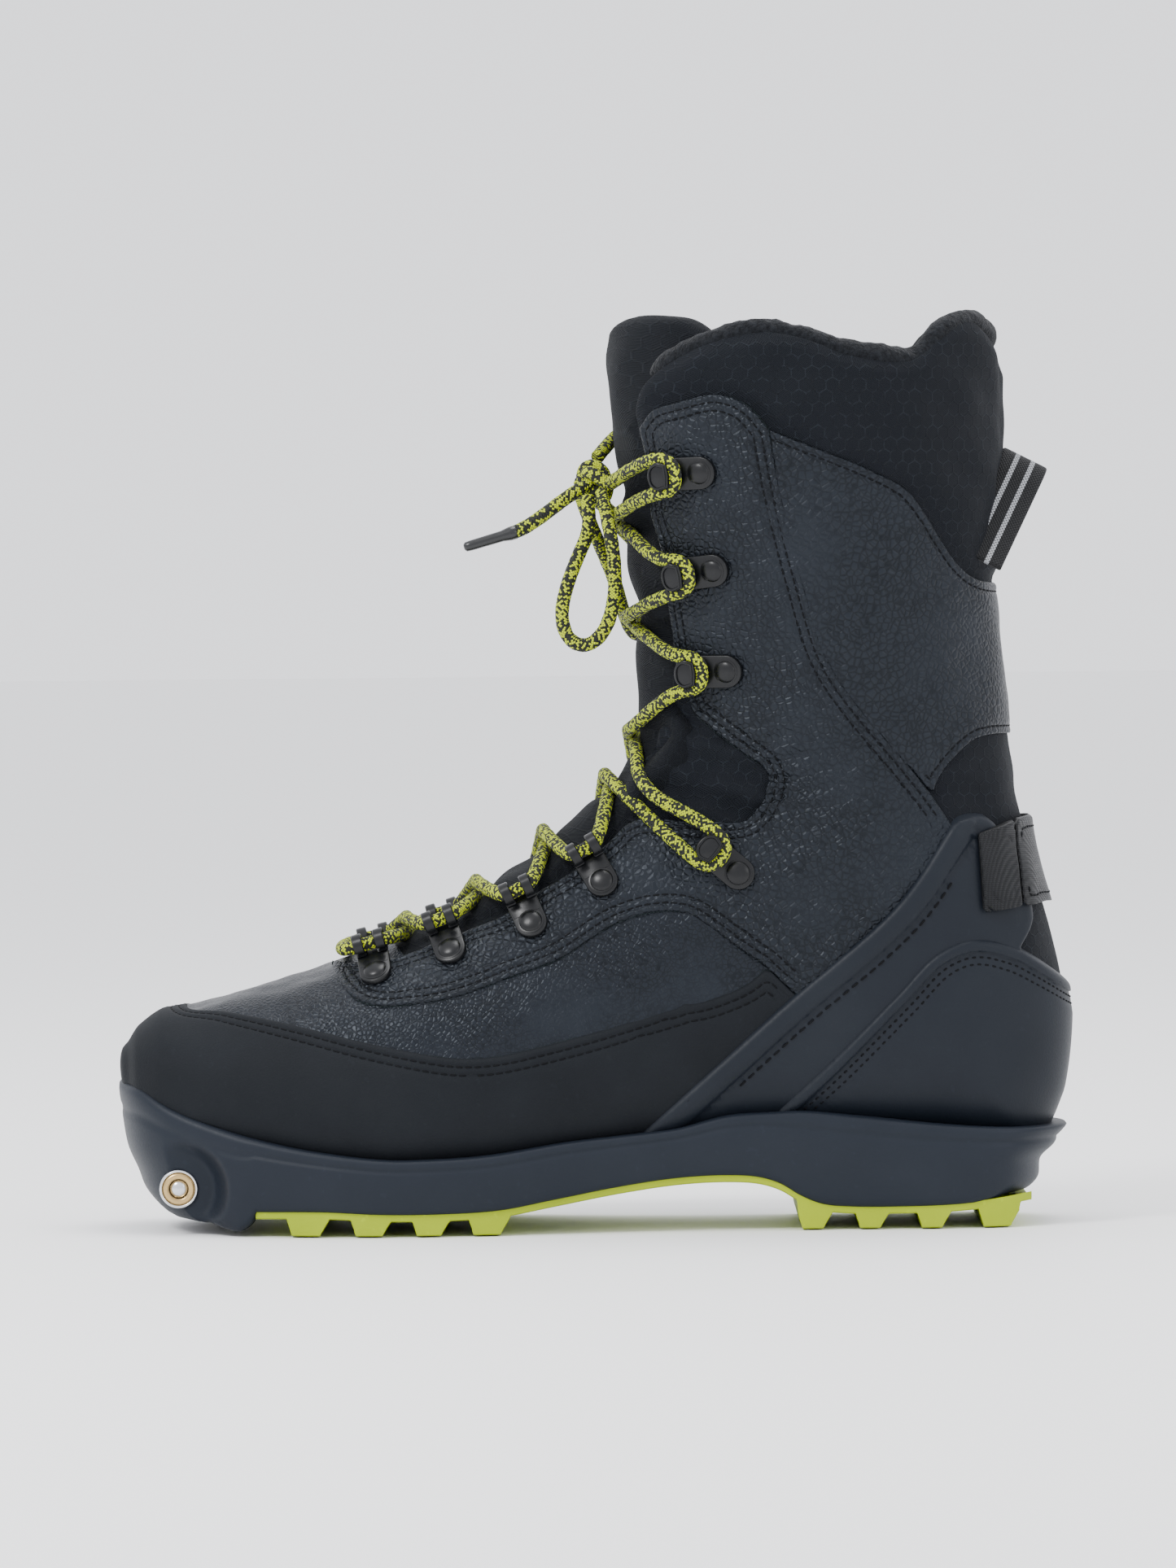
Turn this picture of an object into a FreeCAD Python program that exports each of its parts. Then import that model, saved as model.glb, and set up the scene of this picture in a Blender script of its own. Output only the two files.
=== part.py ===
import FreeCAD, Part
import math
import os

V = FreeCAD.Vector

# Back-country cross country ski boot, left foot.  Millimetres.  +Z up, toe along -X, lateral side -Y.
# The origin is on the floor, under the middle of the boot.

# ---- driving dimensions -------------------------------------------------------------------------
BOOT_HALF_Y = 80.0            # reach of the side-outline cutters, wider than the boot
TEXTILE = 0.9                 # outer face of each layer, measured out from the last surface
VAMP = 1.4
CUFF = 2.0
LEATHER = 2.6
FRAME = 3.4
HEEL_CUP = 3.6
STRAP_IN, STRAP_OUT = 4.5, 6.3
PATCH_OUT = 4.4
SKIN_IN = 0.05                # inner face of every outer panel
PAD_OUT, PAD_IN = -0.1, -1.6  # stiffeners and foam between the panels and the lining
LINING_OUT, LINING_IN = -1.7, -6.5
TONGUE_OUT, TONGUE_IN = -3.4, -8.0
FOOTBED_OUT = -6.8
FOOTBED_THICK = 4.0
PART_GAP = 0.4                # clear space between panels that ride on different bodies
LACE_R = 2.15
AXLE_X, AXLE_Z, AXLE_R, AXLE_HALF = -131.9, 14.2, 3.0, 33.0
BUSH_R, BUSH_LONG = 5.05, 4.0
RIVET_R = 3.5
WEB_WIDE, WEB_THICK = 15.5, 1.8
AGLET_R, AGLET_LONG = 1.5, 18.0

# ---- the last: closed sections fanned from the front/top line (A) to the bottom/back line (B) -----
# xA, zA, xB, zB, half width, centre y, height share of the widest point, roundness at A, at B
STATIONS = [
    (-147.0, 55.5, -146.2, 43.0, 13.0, 3.0, 0.55, 2.2, 2.2),
    (-144.6, 61.5, -144.0, 38.5, 22.0, 3.0, 0.58, 2.3, 2.6),
    (-138.5, 66.8, -138.5, 34.0, 29.5, 2.5, 0.60, 2.4, 3.0),
    (-128.0, 69.0, -128.0, 29.0, 35.0, 1.5, 0.62, 2.4, 3.2),
    (-112.0, 73.8, -112.0, 24.0, 40.0, 0.8, 0.64, 2.3, 3.2),
    (-90.0, 80.0, -90.0, 19.0, 45.0, -0.4, 0.66, 2.2, 3.2),
    (-65.0, 89.5, -65.0, 16.5, 46.5, -1.5, 0.68, 2.1, 3.2),
    (-40.0, 102.0, -37.0, 18.0, 44.5, -2.8, 0.70, 2.1, 3.0),
    (-22.0, 114.5, -8.0, 21.5, 41.5, -3.2, 0.70, 2.1, 3.0),
    (-4.0, 130.0, 18.0, 24.5, 38.0, -2.8, 0.66, 2.1, 3.0),
    (9.0, 142.5, 46.0, 28.0, 36.0, -2.0, 0.60, 2.1, 3.0),
    (13.5, 154.0, 76.0, 28.5, 35.5, -1.0, 0.56, 2.1, 3.0),
    (14.0, 166.0, 108.0, 26.5, 35.5, -0.6, 0.54, 2.1, 3.0),
    (14.0, 178.0, 136.0, 26.0, 36.0, -0.3, 0.52, 2.1, 2.8),
    (13.6, 188.0, 146.0, 44.0, 36.5, 0.0, 0.50, 2.1, 2.6),
    (13.0, 197.0, 148.6, 68.0, 37.5, 0.0, 0.50, 2.1, 2.4),
    (12.2, 206.0, 143.4, 94.0, 38.5, 0.0, 0.50, 2.1, 2.3),
    (11.2, 216.0, 135.8, 122.0, 40.0, 0.0, 0.50, 2.1, 2.2),
    (10.0, 226.0, 131.6, 150.0, 42.0, 0.0, 0.50, 2.1, 2.2),
    (8.8, 237.0, 128.4, 180.0, 44.0, 0.0, 0.50, 2.1, 2.2),
    (7.2, 249.0, 126.6, 208.0, 46.0, 0.0, 0.50, 2.1, 2.2),
    (5.6, 262.0, 127.6, 236.0, 47.0, 0.0, 0.50, 2.1, 2.2),
    (5.4, 276.0, 128.0, 262.0, 47.5, 0.0, 0.50, 2.1, 2.2),
    (8.0, 296.0, 128.0, 296.0, 47.5, 0.0, 0.50, 2.1, 2.2),
]
SECTION_POINTS = 26

# ---- panel edges on the side view (x, z) -----------------------------------------------------------
THROAT_LOW = [(-84.0, 84.6), (-74.0, 84.6), (-62.9, 86.2), (-49.8, 91.2), (-39.6, 95.2), (-29.4, 99.2),
              (-17.1, 107.1), (-7.0, 113.1), (4.3, 122.1), (9.4, 127.1), (15.4, 129.9)]
INSERT_FRONT = [(15.4, 129.9), (20.5, 145.0), (30.8, 162.6)]
INSERT_LOW = [(15.4, 129.9), (24.6, 129.0), (36.7, 128.4), (46.9, 128.8), (52.0, 133.8), (54.6, 140.9)]
INSERT_HIGH = [(54.6, 140.9), (53.1, 144.9), (46.1, 150.1), (38.5, 156.2), (30.8, 162.6)]
THROAT_HIGH = [(30.8, 162.6), (26.4, 175.3), (25.3, 184.4), (23.2, 198.1), (22.1, 211.8), (18.3, 225.6),
               (17.8, 238.1), (15.1, 252.0)]
FRONT_TOP = [(15.1, 252.0), (19.3, 257.6), (26.6, 259.7), (38.9, 262.1), (48.5, 258.5), (55.5, 250.7)]
REAR_TOP = [(55.5, 250.7), (70.2, 244.9), (90.6, 236.3), (98.6, 231.6), (104.2, 224.6), (109.8, 215.5),
            (115.3, 207.5), (121.1, 203.4), (140.0, 201.0)]
SEAM_HIGH = [(55.5, 250.7), (58.7, 232.0), (65.3, 204.6), (73.0, 179.4), (80.8, 166.8), (97.7, 146.2)]
SEAM_LOW = [(97.7, 146.2), (105.9, 135.7), (112.2, 126.4)]
CUFF_LOW = [(105.9, 135.7), (109.4, 142.6), (115.1, 149.3), (121.0, 153.8), (145.0, 154.1)]
QUARTER_LOW = [(-84.0, 84.6), (-79.9, 77.9), (-75.0, 73.8), (-67.9, 71.7), (-57.8, 72.1), (-47.7, 73.5),
               (-37.6, 76.5), (-27.5, 80.3), (-11.2, 86.2), (-3.1, 91.2), (5.0, 96.2), (13.0, 99.2),
               (22.2, 100.5), (29.3, 99.5), (35.2, 95.9), (43.3, 89.7), (53.5, 82.5)]
QUARTER_TAIL = [(53.5, 82.5), (62.4, 73.8)]
RAND_TOP = [(-132.0, 80.0), (-131.0, 71.2), (-115.9, 69.7), (-93.1, 65.5), (-70.5, 60.1), (-50.0, 56.0),
            (-42.0, 55.2), (-30.7, 55.8), (-2.1, 62.3), (25.8, 70.1), (40.6, 74.0), (48.5, 77.8),
            (53.5, 82.5)]
FRAME_FRONT_LOW = [(13.9, 30.3), (55.3, 67.6), (62.4, 73.8)]
FRAME_FRONT = [(62.4, 73.8), (94.3, 101.4), (112.2, 126.4)]
FRAME_TOP = [(112.2, 126.4), (114.5, 128.2), (123.6, 128.4), (127.4, 124.8)]
FRAME_BACK = [(127.4, 124.8), (137.9, 97.4), (133.4, 87.1)]
CUP_EDGE_FRONT = [(56.8, 36.8), (71.1, 50.2), (94.2, 73.4), (105.7, 85.2), (114.8, 89.7), (122.8, 90.2),
                  (133.4, 87.1)]
CUP_EDGE_BACK = [(133.4, 87.1), (142.0, 81.6), (160.0, 68.0)]
FEATHER = [(-160.0, 46.0), (-144.0, 41.0), (-138.5, 36.2), (-128.0, 31.2), (-112.0, 26.2), (-90.0, 21.2),
           (-65.0, 18.7), (-37.0, 20.2), (-8.0, 23.7), (13.9, 26.6), (46.0, 30.2), (76.0, 30.7),
           (108.0, 28.7), (136.0, 28.2), (160.0, 28.0)]
COLLAR_TOP = [(15.1, 252.0), (14.2, 257.6), (16.2, 264.5), (20.8, 269.3), (28.6, 274.3), (39.3, 278.8),
              (53.0, 281.5), (67.0, 279.2), (78.3, 274.9), (92.3, 272.5), (100.3, 272.4), (105.0, 275.2),
              (109.7, 280.3), (115.4, 283.9), (120.1, 284.4), (123.7, 281.5), (127.0, 276.8), (129.0, 271.0),
              (140.0, 262.0)]
TONGUE_TOP = [(-5.0, 262.0), (3.5, 273.0), (6.5, 283.0), (11.0, 287.2), (23.1, 287.2), (30.0, 285.8),
              (36.0, 282.0), (41.0, 276.0), (43.0, 262.0)]

# ---- sole ------------------------------------------------------------------------------------------
SOLE_PLAN = [(-151.8, 3.0), (-147.5, -19.0), (-138.0, -31.5), (-120.0, -41.0), (-95.0, -49.0),
             (-70.0, -53.0), (-45.0, -52.5), (-15.0, -48.0), (15.0, -43.0), (45.0, -39.5), (80.0, -37.5),
             (110.0, -38.0), (132.0, -33.0), (143.0, -19.0), (146.2, 0.0), (143.0, 19.0), (132.0, 33.0),
             (110.0, 37.5), (80.0, 36.0), (45.0, 33.5), (15.0, 35.0), (-15.0, 41.0), (-45.0, 47.5),
             (-70.0, 50.5), (-95.0, 49.5), (-120.0, 43.5), (-138.0, 35.5), (-147.5, 25.0)]
SOLE_RIM = [(-152.5, 47.8), (-149.5, 46.3), (-145.7, 45.4), (-135.6, 39.5), (-120.4, 33.7), (-102.7, 29.0),
            (-85.0, 25.8), (-67.2, 23.8), (-54.5, 23.7), (-34.2, 24.8), (-8.8, 28.6), (13.8, 30.8),
            (25.3, 32.2), (41.0, 36.0), (55.0, 36.8), (64.2, 37.1), (82.3, 35.3), (105.0, 32.8),
            (128.0, 31.1), (150.0, 31.0)]
SOLE_NOSE = [(-152.5, 47.8), (-151.8, 41.7), (-150.7, 35.2), (-148.9, 26.0), (-145.8, 18.8), (-143.7, 13.0),
             (-139.6, 7.7), (-135.9, 4.6), (-132.2, 3.6), (-122.6, 2.0), (-113.1, 1.6), (-109.3, 4.0),
             (-107.4, 7.5)]
SOLE_BOTTOM = [(-107.4, 7.5), (-86.0, 7.6), (-67.5, 6.8), (-49.2, 6.8), (-30.6, 7.7), (-14.0, 10.6),
               (6.8, 14.3), (25.2, 16.7), (40.1, 17.3), (50.3, 16.6), (57.1, 14.5), (64.0, 10.4),
               (70.7, 7.8), (79.8, 6.9), (93.6, 6.8), (116.3, 7.6), (136.6, 10.3)]
SOLE_TAIL = [(136.6, 10.3), (139.6, 14.0), (140.2, 20.0), (144.7, 24.4), (146.4, 27.2), (150.0, 31.0)]
TREAD_THICK = 2.3
FORE_LUGS = [(-96.0, -87.1), (-75.9, -67.5), (-56.8, -49.2), (-39.1, -30.7)]
HEEL_LUGS = [(64.0, 70.6), (82.1, 88.5), (101.5, 107.9), (121.0, 129.6)]


def at(x, z, y=0.0):
    return V(x, y, z)


def curve_points(points):
    """Side-view points along a smooth curve through the given ones, two steps to each span."""
    if len(points) == 2:
        return points
    curve = Part.BSplineCurve()
    curve.interpolate(Points=[at(x, z) for x, z in points])
    return [(place.x, place.z) for place in curve.discretize(Number=2 * len(points) - 1)]


def side_cutter(curves, y_low=-BOOT_HALF_Y, y_high=BOOT_HALF_Y):
    """A block whose side view is the closed outline made of the given curves, joined in order."""
    outline = []
    for points in curves:
        for place in curve_points(points):
            if not outline or math.dist(place, outline[-1]) > 1e-3:
                outline.append(place)
    if math.dist(outline[0], outline[-1]) < 1e-3:
        outline.pop()
    ring = [at(x, z, y_low) for x, z in outline + outline[:1]]
    block = Part.Face(Part.makePolygon(ring)).extrude(V(0, y_high - y_low, 0))
    if not block.isValid():
        print("outline crosses itself near", outline[0], flush=True)
    return block


def back(points):
    return list(reversed(points))


def moved(points, dx, dz):
    return [(x + dx, z + dz) for x, z in points]


# ---- the last surface ------------------------------------------------------------------------------
def section_point(station, angle, out):
    """The point of one section at an angle from A (0) round the lateral side to B (pi)."""
    xa, za, xb, zb, half, centre, share, round_a, round_b = station
    span = math.hypot(xb - xa, zb - za)
    ux, uz = (xb - xa) / span, (zb - za) / span
    side, rise = math.sin(angle), math.cos(angle)
    power = 2.0 / (round_a if rise >= 0 else round_b)
    reach = max(half + out, 2.0)
    y = centre - math.copysign(abs(side) ** power * reach, side)
    if rise >= 0:
        along = share * (1.0 - rise ** power)
    else:
        along = share + (1.0 - share) * abs(rise) ** power
    along = along * (span + 2.0 * out) - out
    return V(xa + ux * along, y, za + uz * along)


def station_at(place):
    """A station between the listed ones; place counts stations from the toe."""
    low = min(int(place), len(STATIONS) - 2)
    share = place - low
    return tuple(a + (b - a) * share for a, b in zip(STATIONS[low], STATIONS[low + 1]))


def last_point(place, angle, out):
    return section_point(station_at(place), angle, out)


LASTS = {}
DEEPEST_AT_TOE = -3.0


def triangle(a, b, c):
    return Part.Face(Part.makePolygon([a, b, c, a]))


def last_at(out):
    """The solid inside the last surface, grown by 'out', in flat facets."""
    if out not in LASTS:
        turns = [math.pi + 2.0 * math.pi * k / SECTION_POINTS for k in range(SECTION_POINTS)]
        # deep inner surfaces start further back, where the toe is wide enough for them
        used = STATIONS if out > DEEPEST_AT_TOE else STATIONS[2:]
        rings = [[section_point(station, turn, out) for turn in turns] for station in used]
        if out > DEEPEST_AT_TOE:
            rings[0] = [place - V(out, 0, 0) for place in rings[0]]
        faces = []
        for near, far in zip(rings, rings[1:]):
            for k in range(SECTION_POINTS):
                after = (k + 1) % SECTION_POINTS
                faces.append(triangle(near[k], near[after], far[after]))
                faces.append(triangle(near[k], far[after], far[k]))
        faces += [Part.Face(Part.makePolygon(ring + ring[:1])) for ring in (rings[0], rings[-1])]
        solid = Part.makeSolid(Part.makeShell(faces))
        if solid.Volume < 0:
            solid.reverse()
        LASTS[out] = solid
    return LASTS[out]


def layer(outer, inner, block):
    """The stretch of a layer that lies inside a block."""
    return last_at(outer).common(block).cut(last_at(inner))


def panel(outer, curves, inner=SKIN_IN, y_low=-BOOT_HALF_Y, y_high=BOOT_HALF_Y):
    return layer(outer, inner, side_cutter(curves, y_low, y_high))


def both_sides(outer, curves, inner=SKIN_IN):
    return {"lateral": panel(outer, curves, inner, y_high=-1.0), "medial": panel(outer, curves, inner, y_low=1.0)}


NODES = {}


def keep(name, shape):
    """Store a node as its solids, without the loose scraps that trimming can leave."""
    solids = [solid for solid in shape.Solids if solid.Volume > 1.0]
    NODES[name] = solids[0] if len(solids) == 1 else Part.makeCompound(solids)
    print(name, len(solids), "solids", round(sum(s.Volume for s in solids) / 1000.0, 2), "cm3",
          "valid" if NODES[name].isValid() else "NOT VALID", flush=True)


# ---- hardware placed on the last surface -----------------------------------------------------------
def side_y(x, z, out, side):
    """The y of the last surface beside the point (x, z); side is -1 lateral or 1 medial."""
    line = Part.makeLine(V(x, side * BOOT_HALF_Y, z), V(x, 0, z))
    inside = line.common(last_at(out))
    return side * max(side * vertex.Y for vertex in inside.Vertexes)


def seat(x, z, out, side, tip):
    """A placement on the last surface: local X runs toward the tip (x, z), local Z points outward."""
    step = 2.5
    here = V(x, side_y(x, z, out, side), z)
    along_x = V(x + step, side_y(x + step, z, out, side), z) - V(x - step, side_y(x - step, z, out, side), z)
    along_z = V(x, side_y(x, z + step, out, side), z + step) - V(x, side_y(x, z - step, out, side), z - step)
    outward = along_z.cross(along_x)
    if outward.y * side < 0:
        outward = outward * -1.0
    outward.normalize()
    aim = V(tip[0], side_y(tip[0], tip[1], out, side), tip[1]) - here
    aim = aim - outward * aim.dot(outward)
    aim.normalize()
    across = outward.cross(aim)
    matrix = FreeCAD.Matrix(aim.x, across.x, outward.x, here.x, aim.y, across.y, outward.y, here.y,
                            aim.z, across.z, outward.z, here.z, 0, 0, 0, 1)
    return FreeCAD.Placement(matrix)


def placed(shape, placement):
    copy = shape.copy()
    copy.Placement = placement
    return copy


def stadium(x0, x1, half, z0, thick):
    """A flat plate with a round end at x0 and a round end at x1."""
    box = Part.makeBox(x1 - x0, 2 * half, thick, V(x0, -half, z0))
    return box.fuse([Part.makeCylinder(half, thick, V(x, 0, z0)) for x in (x0, x1)]).removeSplitter()


def dome(radius, height, z0):
    """A low domed rivet head."""
    ball_r = (radius * radius + height * height) / (2.0 * height)
    ball = Part.makeSphere(ball_r, V(0, 0, z0 + height - ball_r))
    return ball.common(Part.makeCylinder(radius, height, V(0, 0, z0)))


PLATE_LIFT = 0.5              # plates stand off the leather, which is curved beneath them
PLATE_THICK = 1.2
NECK_R, NECK_TALL = 1.9, 5.2
HOOK_REACH = 10.8             # rivet centre to neck centre


def speed_hook():
    """A riveted base plate with a neck and a D-shaped head that keeps the lace in."""
    plate = stadium(0.0, HOOK_REACH, 5.2, PLATE_LIFT, PLATE_THICK)
    plate = plate.cut(Part.makeCylinder(1.6, 4.0, V(0, 0, 0)))
    neck = Part.makeCylinder(NECK_R, NECK_TALL, V(HOOK_REACH + 1.2, 0, PLATE_LIFT + PLATE_THICK - 0.2))
    head = Part.makeCylinder(4.3, 1.6, V(HOOK_REACH + 0.4, 0, PLATE_LIFT + PLATE_THICK + NECK_TALL - 0.4))
    head = head.common(Part.makeBox(12.0, 12.0, 30.0, V(HOOK_REACH - 2.6, -6.0, 0.0)))
    return plate.fuse([neck, head])


def rivet(radius):
    stem = Part.makeCylinder(1.4, PLATE_THICK + 0.6, V(0, 0, PLATE_LIFT - 0.2))
    return stem.fuse(dome(radius, 1.7, PLATE_LIFT + PLATE_THICK + 0.05))


CHANNEL_X, CHANNEL_Z, CHANNEL_R, CHANNEL_LONG = 11.0, 4.2, 2.65, 10.2


def lace_loop():
    """A riveted plate that rolls over into a short tube for the lace, with a window between two legs."""
    wall = 1.1
    plate = stadium(0.0, CHANNEL_X - 2.0, 5.1, PLATE_LIFT, PLATE_THICK)
    plate = plate.cut(Part.makeCylinder(1.6, 4.0, V(0, 0, 0)))
    start = V(CHANNEL_X, -CHANNEL_LONG / 2, CHANNEL_Z)
    tube = Part.makeCylinder(CHANNEL_R + wall, CHANNEL_LONG, start, V(0, 1, 0))
    bore = Part.makeCylinder(CHANNEL_R, CHANNEL_LONG + 2, start - V(0, 1, 0), V(0, 1, 0))
    window = Part.makeBox(5.4, 3.6, 6.0, V(CHANNEL_X - 4.2, -1.8, CHANNEL_Z))
    return plate.fuse(tube).cut(bore).cut(window)


UPPER_HOOKS = [((34.3, 237.6), (23.5, 237.4)), ((38.2, 207.1), (27.2, 206.0)), ((42.2, 175.4), (31.1, 175.4))]
ANKLE_HOOK = ((44.9, 111.9), (36.4, 119.0))
LACE_LOOPS = [((-69.1, 81.2), (-70.9, 92.5)), ((-45.5, 88.1), (-49.6, 100.5)), ((-20.0, 96.7), (-26.2, 110.3)),
              ((2.3, 109.5), (-5.9, 123.3))]
SIDES = {"lateral": -1, "medial": 1}


def make_hardware():
    lower_rivets, upper_rivets = [], []
    for side_name, side in SIDES.items():
        for number, (foot, tip) in enumerate(LACE_LOOPS, 1):
            toward = (foot[0] + 0.35 * (tip[0] - foot[0]), foot[1] + 0.35 * (tip[1] - foot[1]))
            spot = seat(foot[0], foot[1], LEATHER, side, toward)
            keep("lace_loop_%s_%d" % (side_name, number), placed(lace_loop(), spot))
            lower_rivets.append(placed(rivet(4.0), spot))
        for number, (foot, tip) in enumerate(UPPER_HOOKS, 1):
            spot = seat(foot[0], foot[1], LEATHER, side, tip)
            keep("upper_hook_%s_%d" % (side_name, number), placed(speed_hook(), spot))
            upper_rivets.append(placed(rivet(RIVET_R), spot))
        foot, tip = ANKLE_HOOK
        spot = seat(foot[0], foot[1], LEATHER, side, tip)
        keep("ankle_hook_" + side_name, placed(speed_hook(), spot))
        lower_rivets.append(placed(rivet(4.0), spot))
    keep("lower_rivets", Part.makeCompound(lower_rivets))
    keep("upper_rivets", Part.makeCompound(upper_rivets))


# ---- upper -----------------------------------------------------------------------------------------
CREASE = [(54.6, 140.9), (97.7, 146.2)]     # where the one-piece leather folds between foot and shaft


def make_panels():
    foot_end = [(-160.0, 46.0), (-160.0, 80.0)]
    frame_foot = [(13.9, 26.6), (13.9, 30.3)]
    rand = [RAND_TOP, QUARTER_TAIL, back(FRAME_FRONT_LOW), [(13.9, 30.3), (13.9, 26.6)], back(FEATHER[:10]),
            foot_end]
    keep("toe_rand", panel(LEATHER, rand))
    vamp = [[(-131.0, 71.2), (-131.0, 92.0)], [(-131.0, 92.0), (-84.0, 92.0)], [(-84.0, 92.0), (-84.0, 84.6)],
            QUARTER_LOW, back(RAND_TOP[1:])]
    keep("vamp", panel(VAMP, vamp).cut(NODES["toe_rand"]))
    quarter = [THROAT_LOW, INSERT_LOW, CREASE, SEAM_LOW, back(FRAME_FRONT), back(QUARTER_TAIL),
               back(QUARTER_LOW)]
    for name, shape in both_sides(LEATHER, quarter).items():
        keep("quarter_" + name, shape)
    insert = [INSERT_FRONT, back(INSERT_HIGH), back(INSERT_LOW)]
    for name, shape in both_sides(TEXTILE, insert).items():
        keep("flex_insert_" + name, shape)
    crease_above = [(97.2, 146.8), (55.0, 141.5)]
    shaft = [THROAT_HIGH, FRONT_TOP, SEAM_HIGH[:-1], [SEAM_HIGH[-2], crease_above[0]], crease_above,
             moved(INSERT_HIGH, PART_GAP, PART_GAP)]
    for name, shape in both_sides(LEATHER, shaft).items():
        keep("shaft_front_" + name, shape)
    cuff = [REAR_TOP, back(moved(CUFF_LOW, PART_GAP, PART_GAP)), back(moved(SEAM_LOW, PART_GAP, PART_GAP)[:2]),
            back(SEAM_HIGH)]
    rear_cuff = panel(CUFF, cuff)
    for name in ("shaft_front_lateral", "shaft_front_medial", "quarter_lateral", "quarter_medial"):
        rear_cuff = rear_cuff.cut(NODES[name])
    keep("rear_cuff", rear_cuff)
    achilles = [back(SEAM_LOW)[:2], CUFF_LOW, [(160.0, 154.1), (160.0, 68.0)], back(CUP_EDGE_BACK),
                back(FRAME_BACK), back(FRAME_TOP)]
    keep("achilles_panel", panel(TEXTILE, achilles).cut(NODES["rear_cuff"]))
    collar = [COLLAR_TOP, [(140.0, 262.0), (140.0, 201.0)], back(REAR_TOP), back(FRONT_TOP)]
    keep("collar", panel(TEXTILE, collar))
    frame = [FRAME_FRONT_LOW, FRAME_FRONT, FRAME_TOP, FRAME_BACK, back(CUP_EDGE_FRONT),
             [(56.8, 36.8), (56.8, 30.5)], [(56.8, 30.5), (13.9, 26.6)], frame_foot]
    for name, shape in both_sides(FRAME, frame).items():
        keep("support_frame_" + name, shape)
    cup = [CUP_EDGE_FRONT, CUP_EDGE_BACK, [(160.0, 68.0), (160.0, 28.0)], [(160.0, 28.0), (56.8, 30.5)]]
    keep("heel_cup", panel(HEEL_CUP, cup))


FLEX_LINE = [(-20.0, 150.0), (97.7, 147.4), (118.0, 155.0), (160.0, 155.0)]   # foot below, shaft above
LINING_FRONT_LOW = [(-150.0, 96.0), (-84.0, 92.0), (-76.0, 79.0), (-50.0, 80.0), (-24.0, 90.0), (2.0, 108.0),
                    (17.0, 121.0), (27.0, 134.0), (30.0, 147.5)]
LINING_FRONT_HIGH = [(30.0, 148.0), (38.0, 165.0), (35.0, 185.0), (30.0, 215.0), (27.0, 240.0),
                     (27.0, 270.0)]
TONGUE_REAR_LOW = [(-83.0, 90.0), (-73.5, 80.8), (-50.0, 82.5), (-25.0, 92.5), (0.0, 109.5), (15.0, 122.3),
                   (25.0, 135.0), (28.4, 147.5)]
TONGUE_REAR_HIGH = [(28.4, 148.3), (36.2, 165.0), (33.4, 185.0), (28.6, 215.0), (25.6, 240.0), (25.6, 262.0)]


def make_inside():
    above_feather = [FEATHER, [(160.0, 28.0), (160.0, 155.0)], back(FLEX_LINE[1:]),
                     [(97.7, 147.4), (30.0, 147.5)], back(LINING_FRONT_LOW), [(-150.0, 96.0), (-160.0, 96.0)]]
    foot_block = side_cutter(above_feather)
    keep("lining_foot", layer(LINING_OUT, LINING_IN, foot_block))
    puff_block = side_cutter([[(-160.0, 30.0), (-118.0, 20.0)], [(-118.0, 20.0), (-104.0, 82.0)],
                              [(-104.0, 82.0), (-160.0, 82.0)]])
    counter_block = side_cutter([[(84.0, 22.0), (160.0, 22.0)], [(160.0, 22.0), (160.0, 88.0)],
                                 [(160.0, 88.0), (120.0, 84.0), (84.0, 46.0)]])
    foot_pad = layer(PAD_OUT, PAD_IN, foot_block)
    keep("toe_puff", foot_pad.common(puff_block))
    keep("heel_counter", foot_pad.common(counter_block))
    keep("padding_foot", foot_pad.cut(puff_block).cut(counter_block))
    board_block = side_cutter([moved(FEATHER, 0.0, -0.2), [(160.0, 27.8), (160.0, 0.0)],
                               [(160.0, 0.0), (-160.0, 0.0)]])
    keep("lasting_board", layer(PAD_OUT, LINING_IN, board_block))
    bed_top = moved(FEATHER, 0.0, FOOTBED_THICK + 4.6)
    bed_block = side_cutter([bed_top, [(160.0, 36.0), (160.0, 0.0)], [(160.0, 0.0), (-160.0, 0.0)]])
    keep("footbed", last_at(FOOTBED_OUT).common(bed_block))
    shaft_low = moved(FLEX_LINE[1:], 0.0, PART_GAP)
    shaft = [back(shaft_low), [(97.7, 147.8), (30.0, 148.0)], LINING_FRONT_HIGH, [(27.0, 270.0), (28.6, 274.0)],
             COLLAR_TOP[4:], [(140.0, 262.0), (160.0, 262.0)], [(160.0, 262.0), (160.0, 155.4)]]
    shaft_block = side_cutter(shaft)
    keep("lining_shaft", layer(LINING_OUT, LINING_IN, shaft_block))
    keep("padding_shaft", layer(PAD_OUT, PAD_IN, shaft_block))
    low_tongue = [TONGUE_REAR_LOW, [(28.4, 147.5), (-30.0, 147.5)], [(-30.0, 147.5), (-83.0, 90.0)]]
    keep("tongue_lower", layer(TONGUE_OUT, TONGUE_IN, side_cutter(low_tongue)))
    high_tongue = [TONGUE_REAR_HIGH, [(25.6, 262.0), (25.6, 276.0)], [(25.6, 276.0), (39.0, 281.0)],
                   [(39.0, 281.0), TONGUE_TOP[6]], back(TONGUE_TOP[:7]), [(-5.0, 262.0), (-30.0, 200.0)],
                   [(-30.0, 200.0), (-30.0, 148.3)]]
    tongue = layer(TONGUE_OUT, TONGUE_IN, side_cutter(high_tongue))
    keep("tongue_upper", tongue.cut(NODES["lining_shaft"]).cut(NODES["padding_shaft"]))


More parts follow.
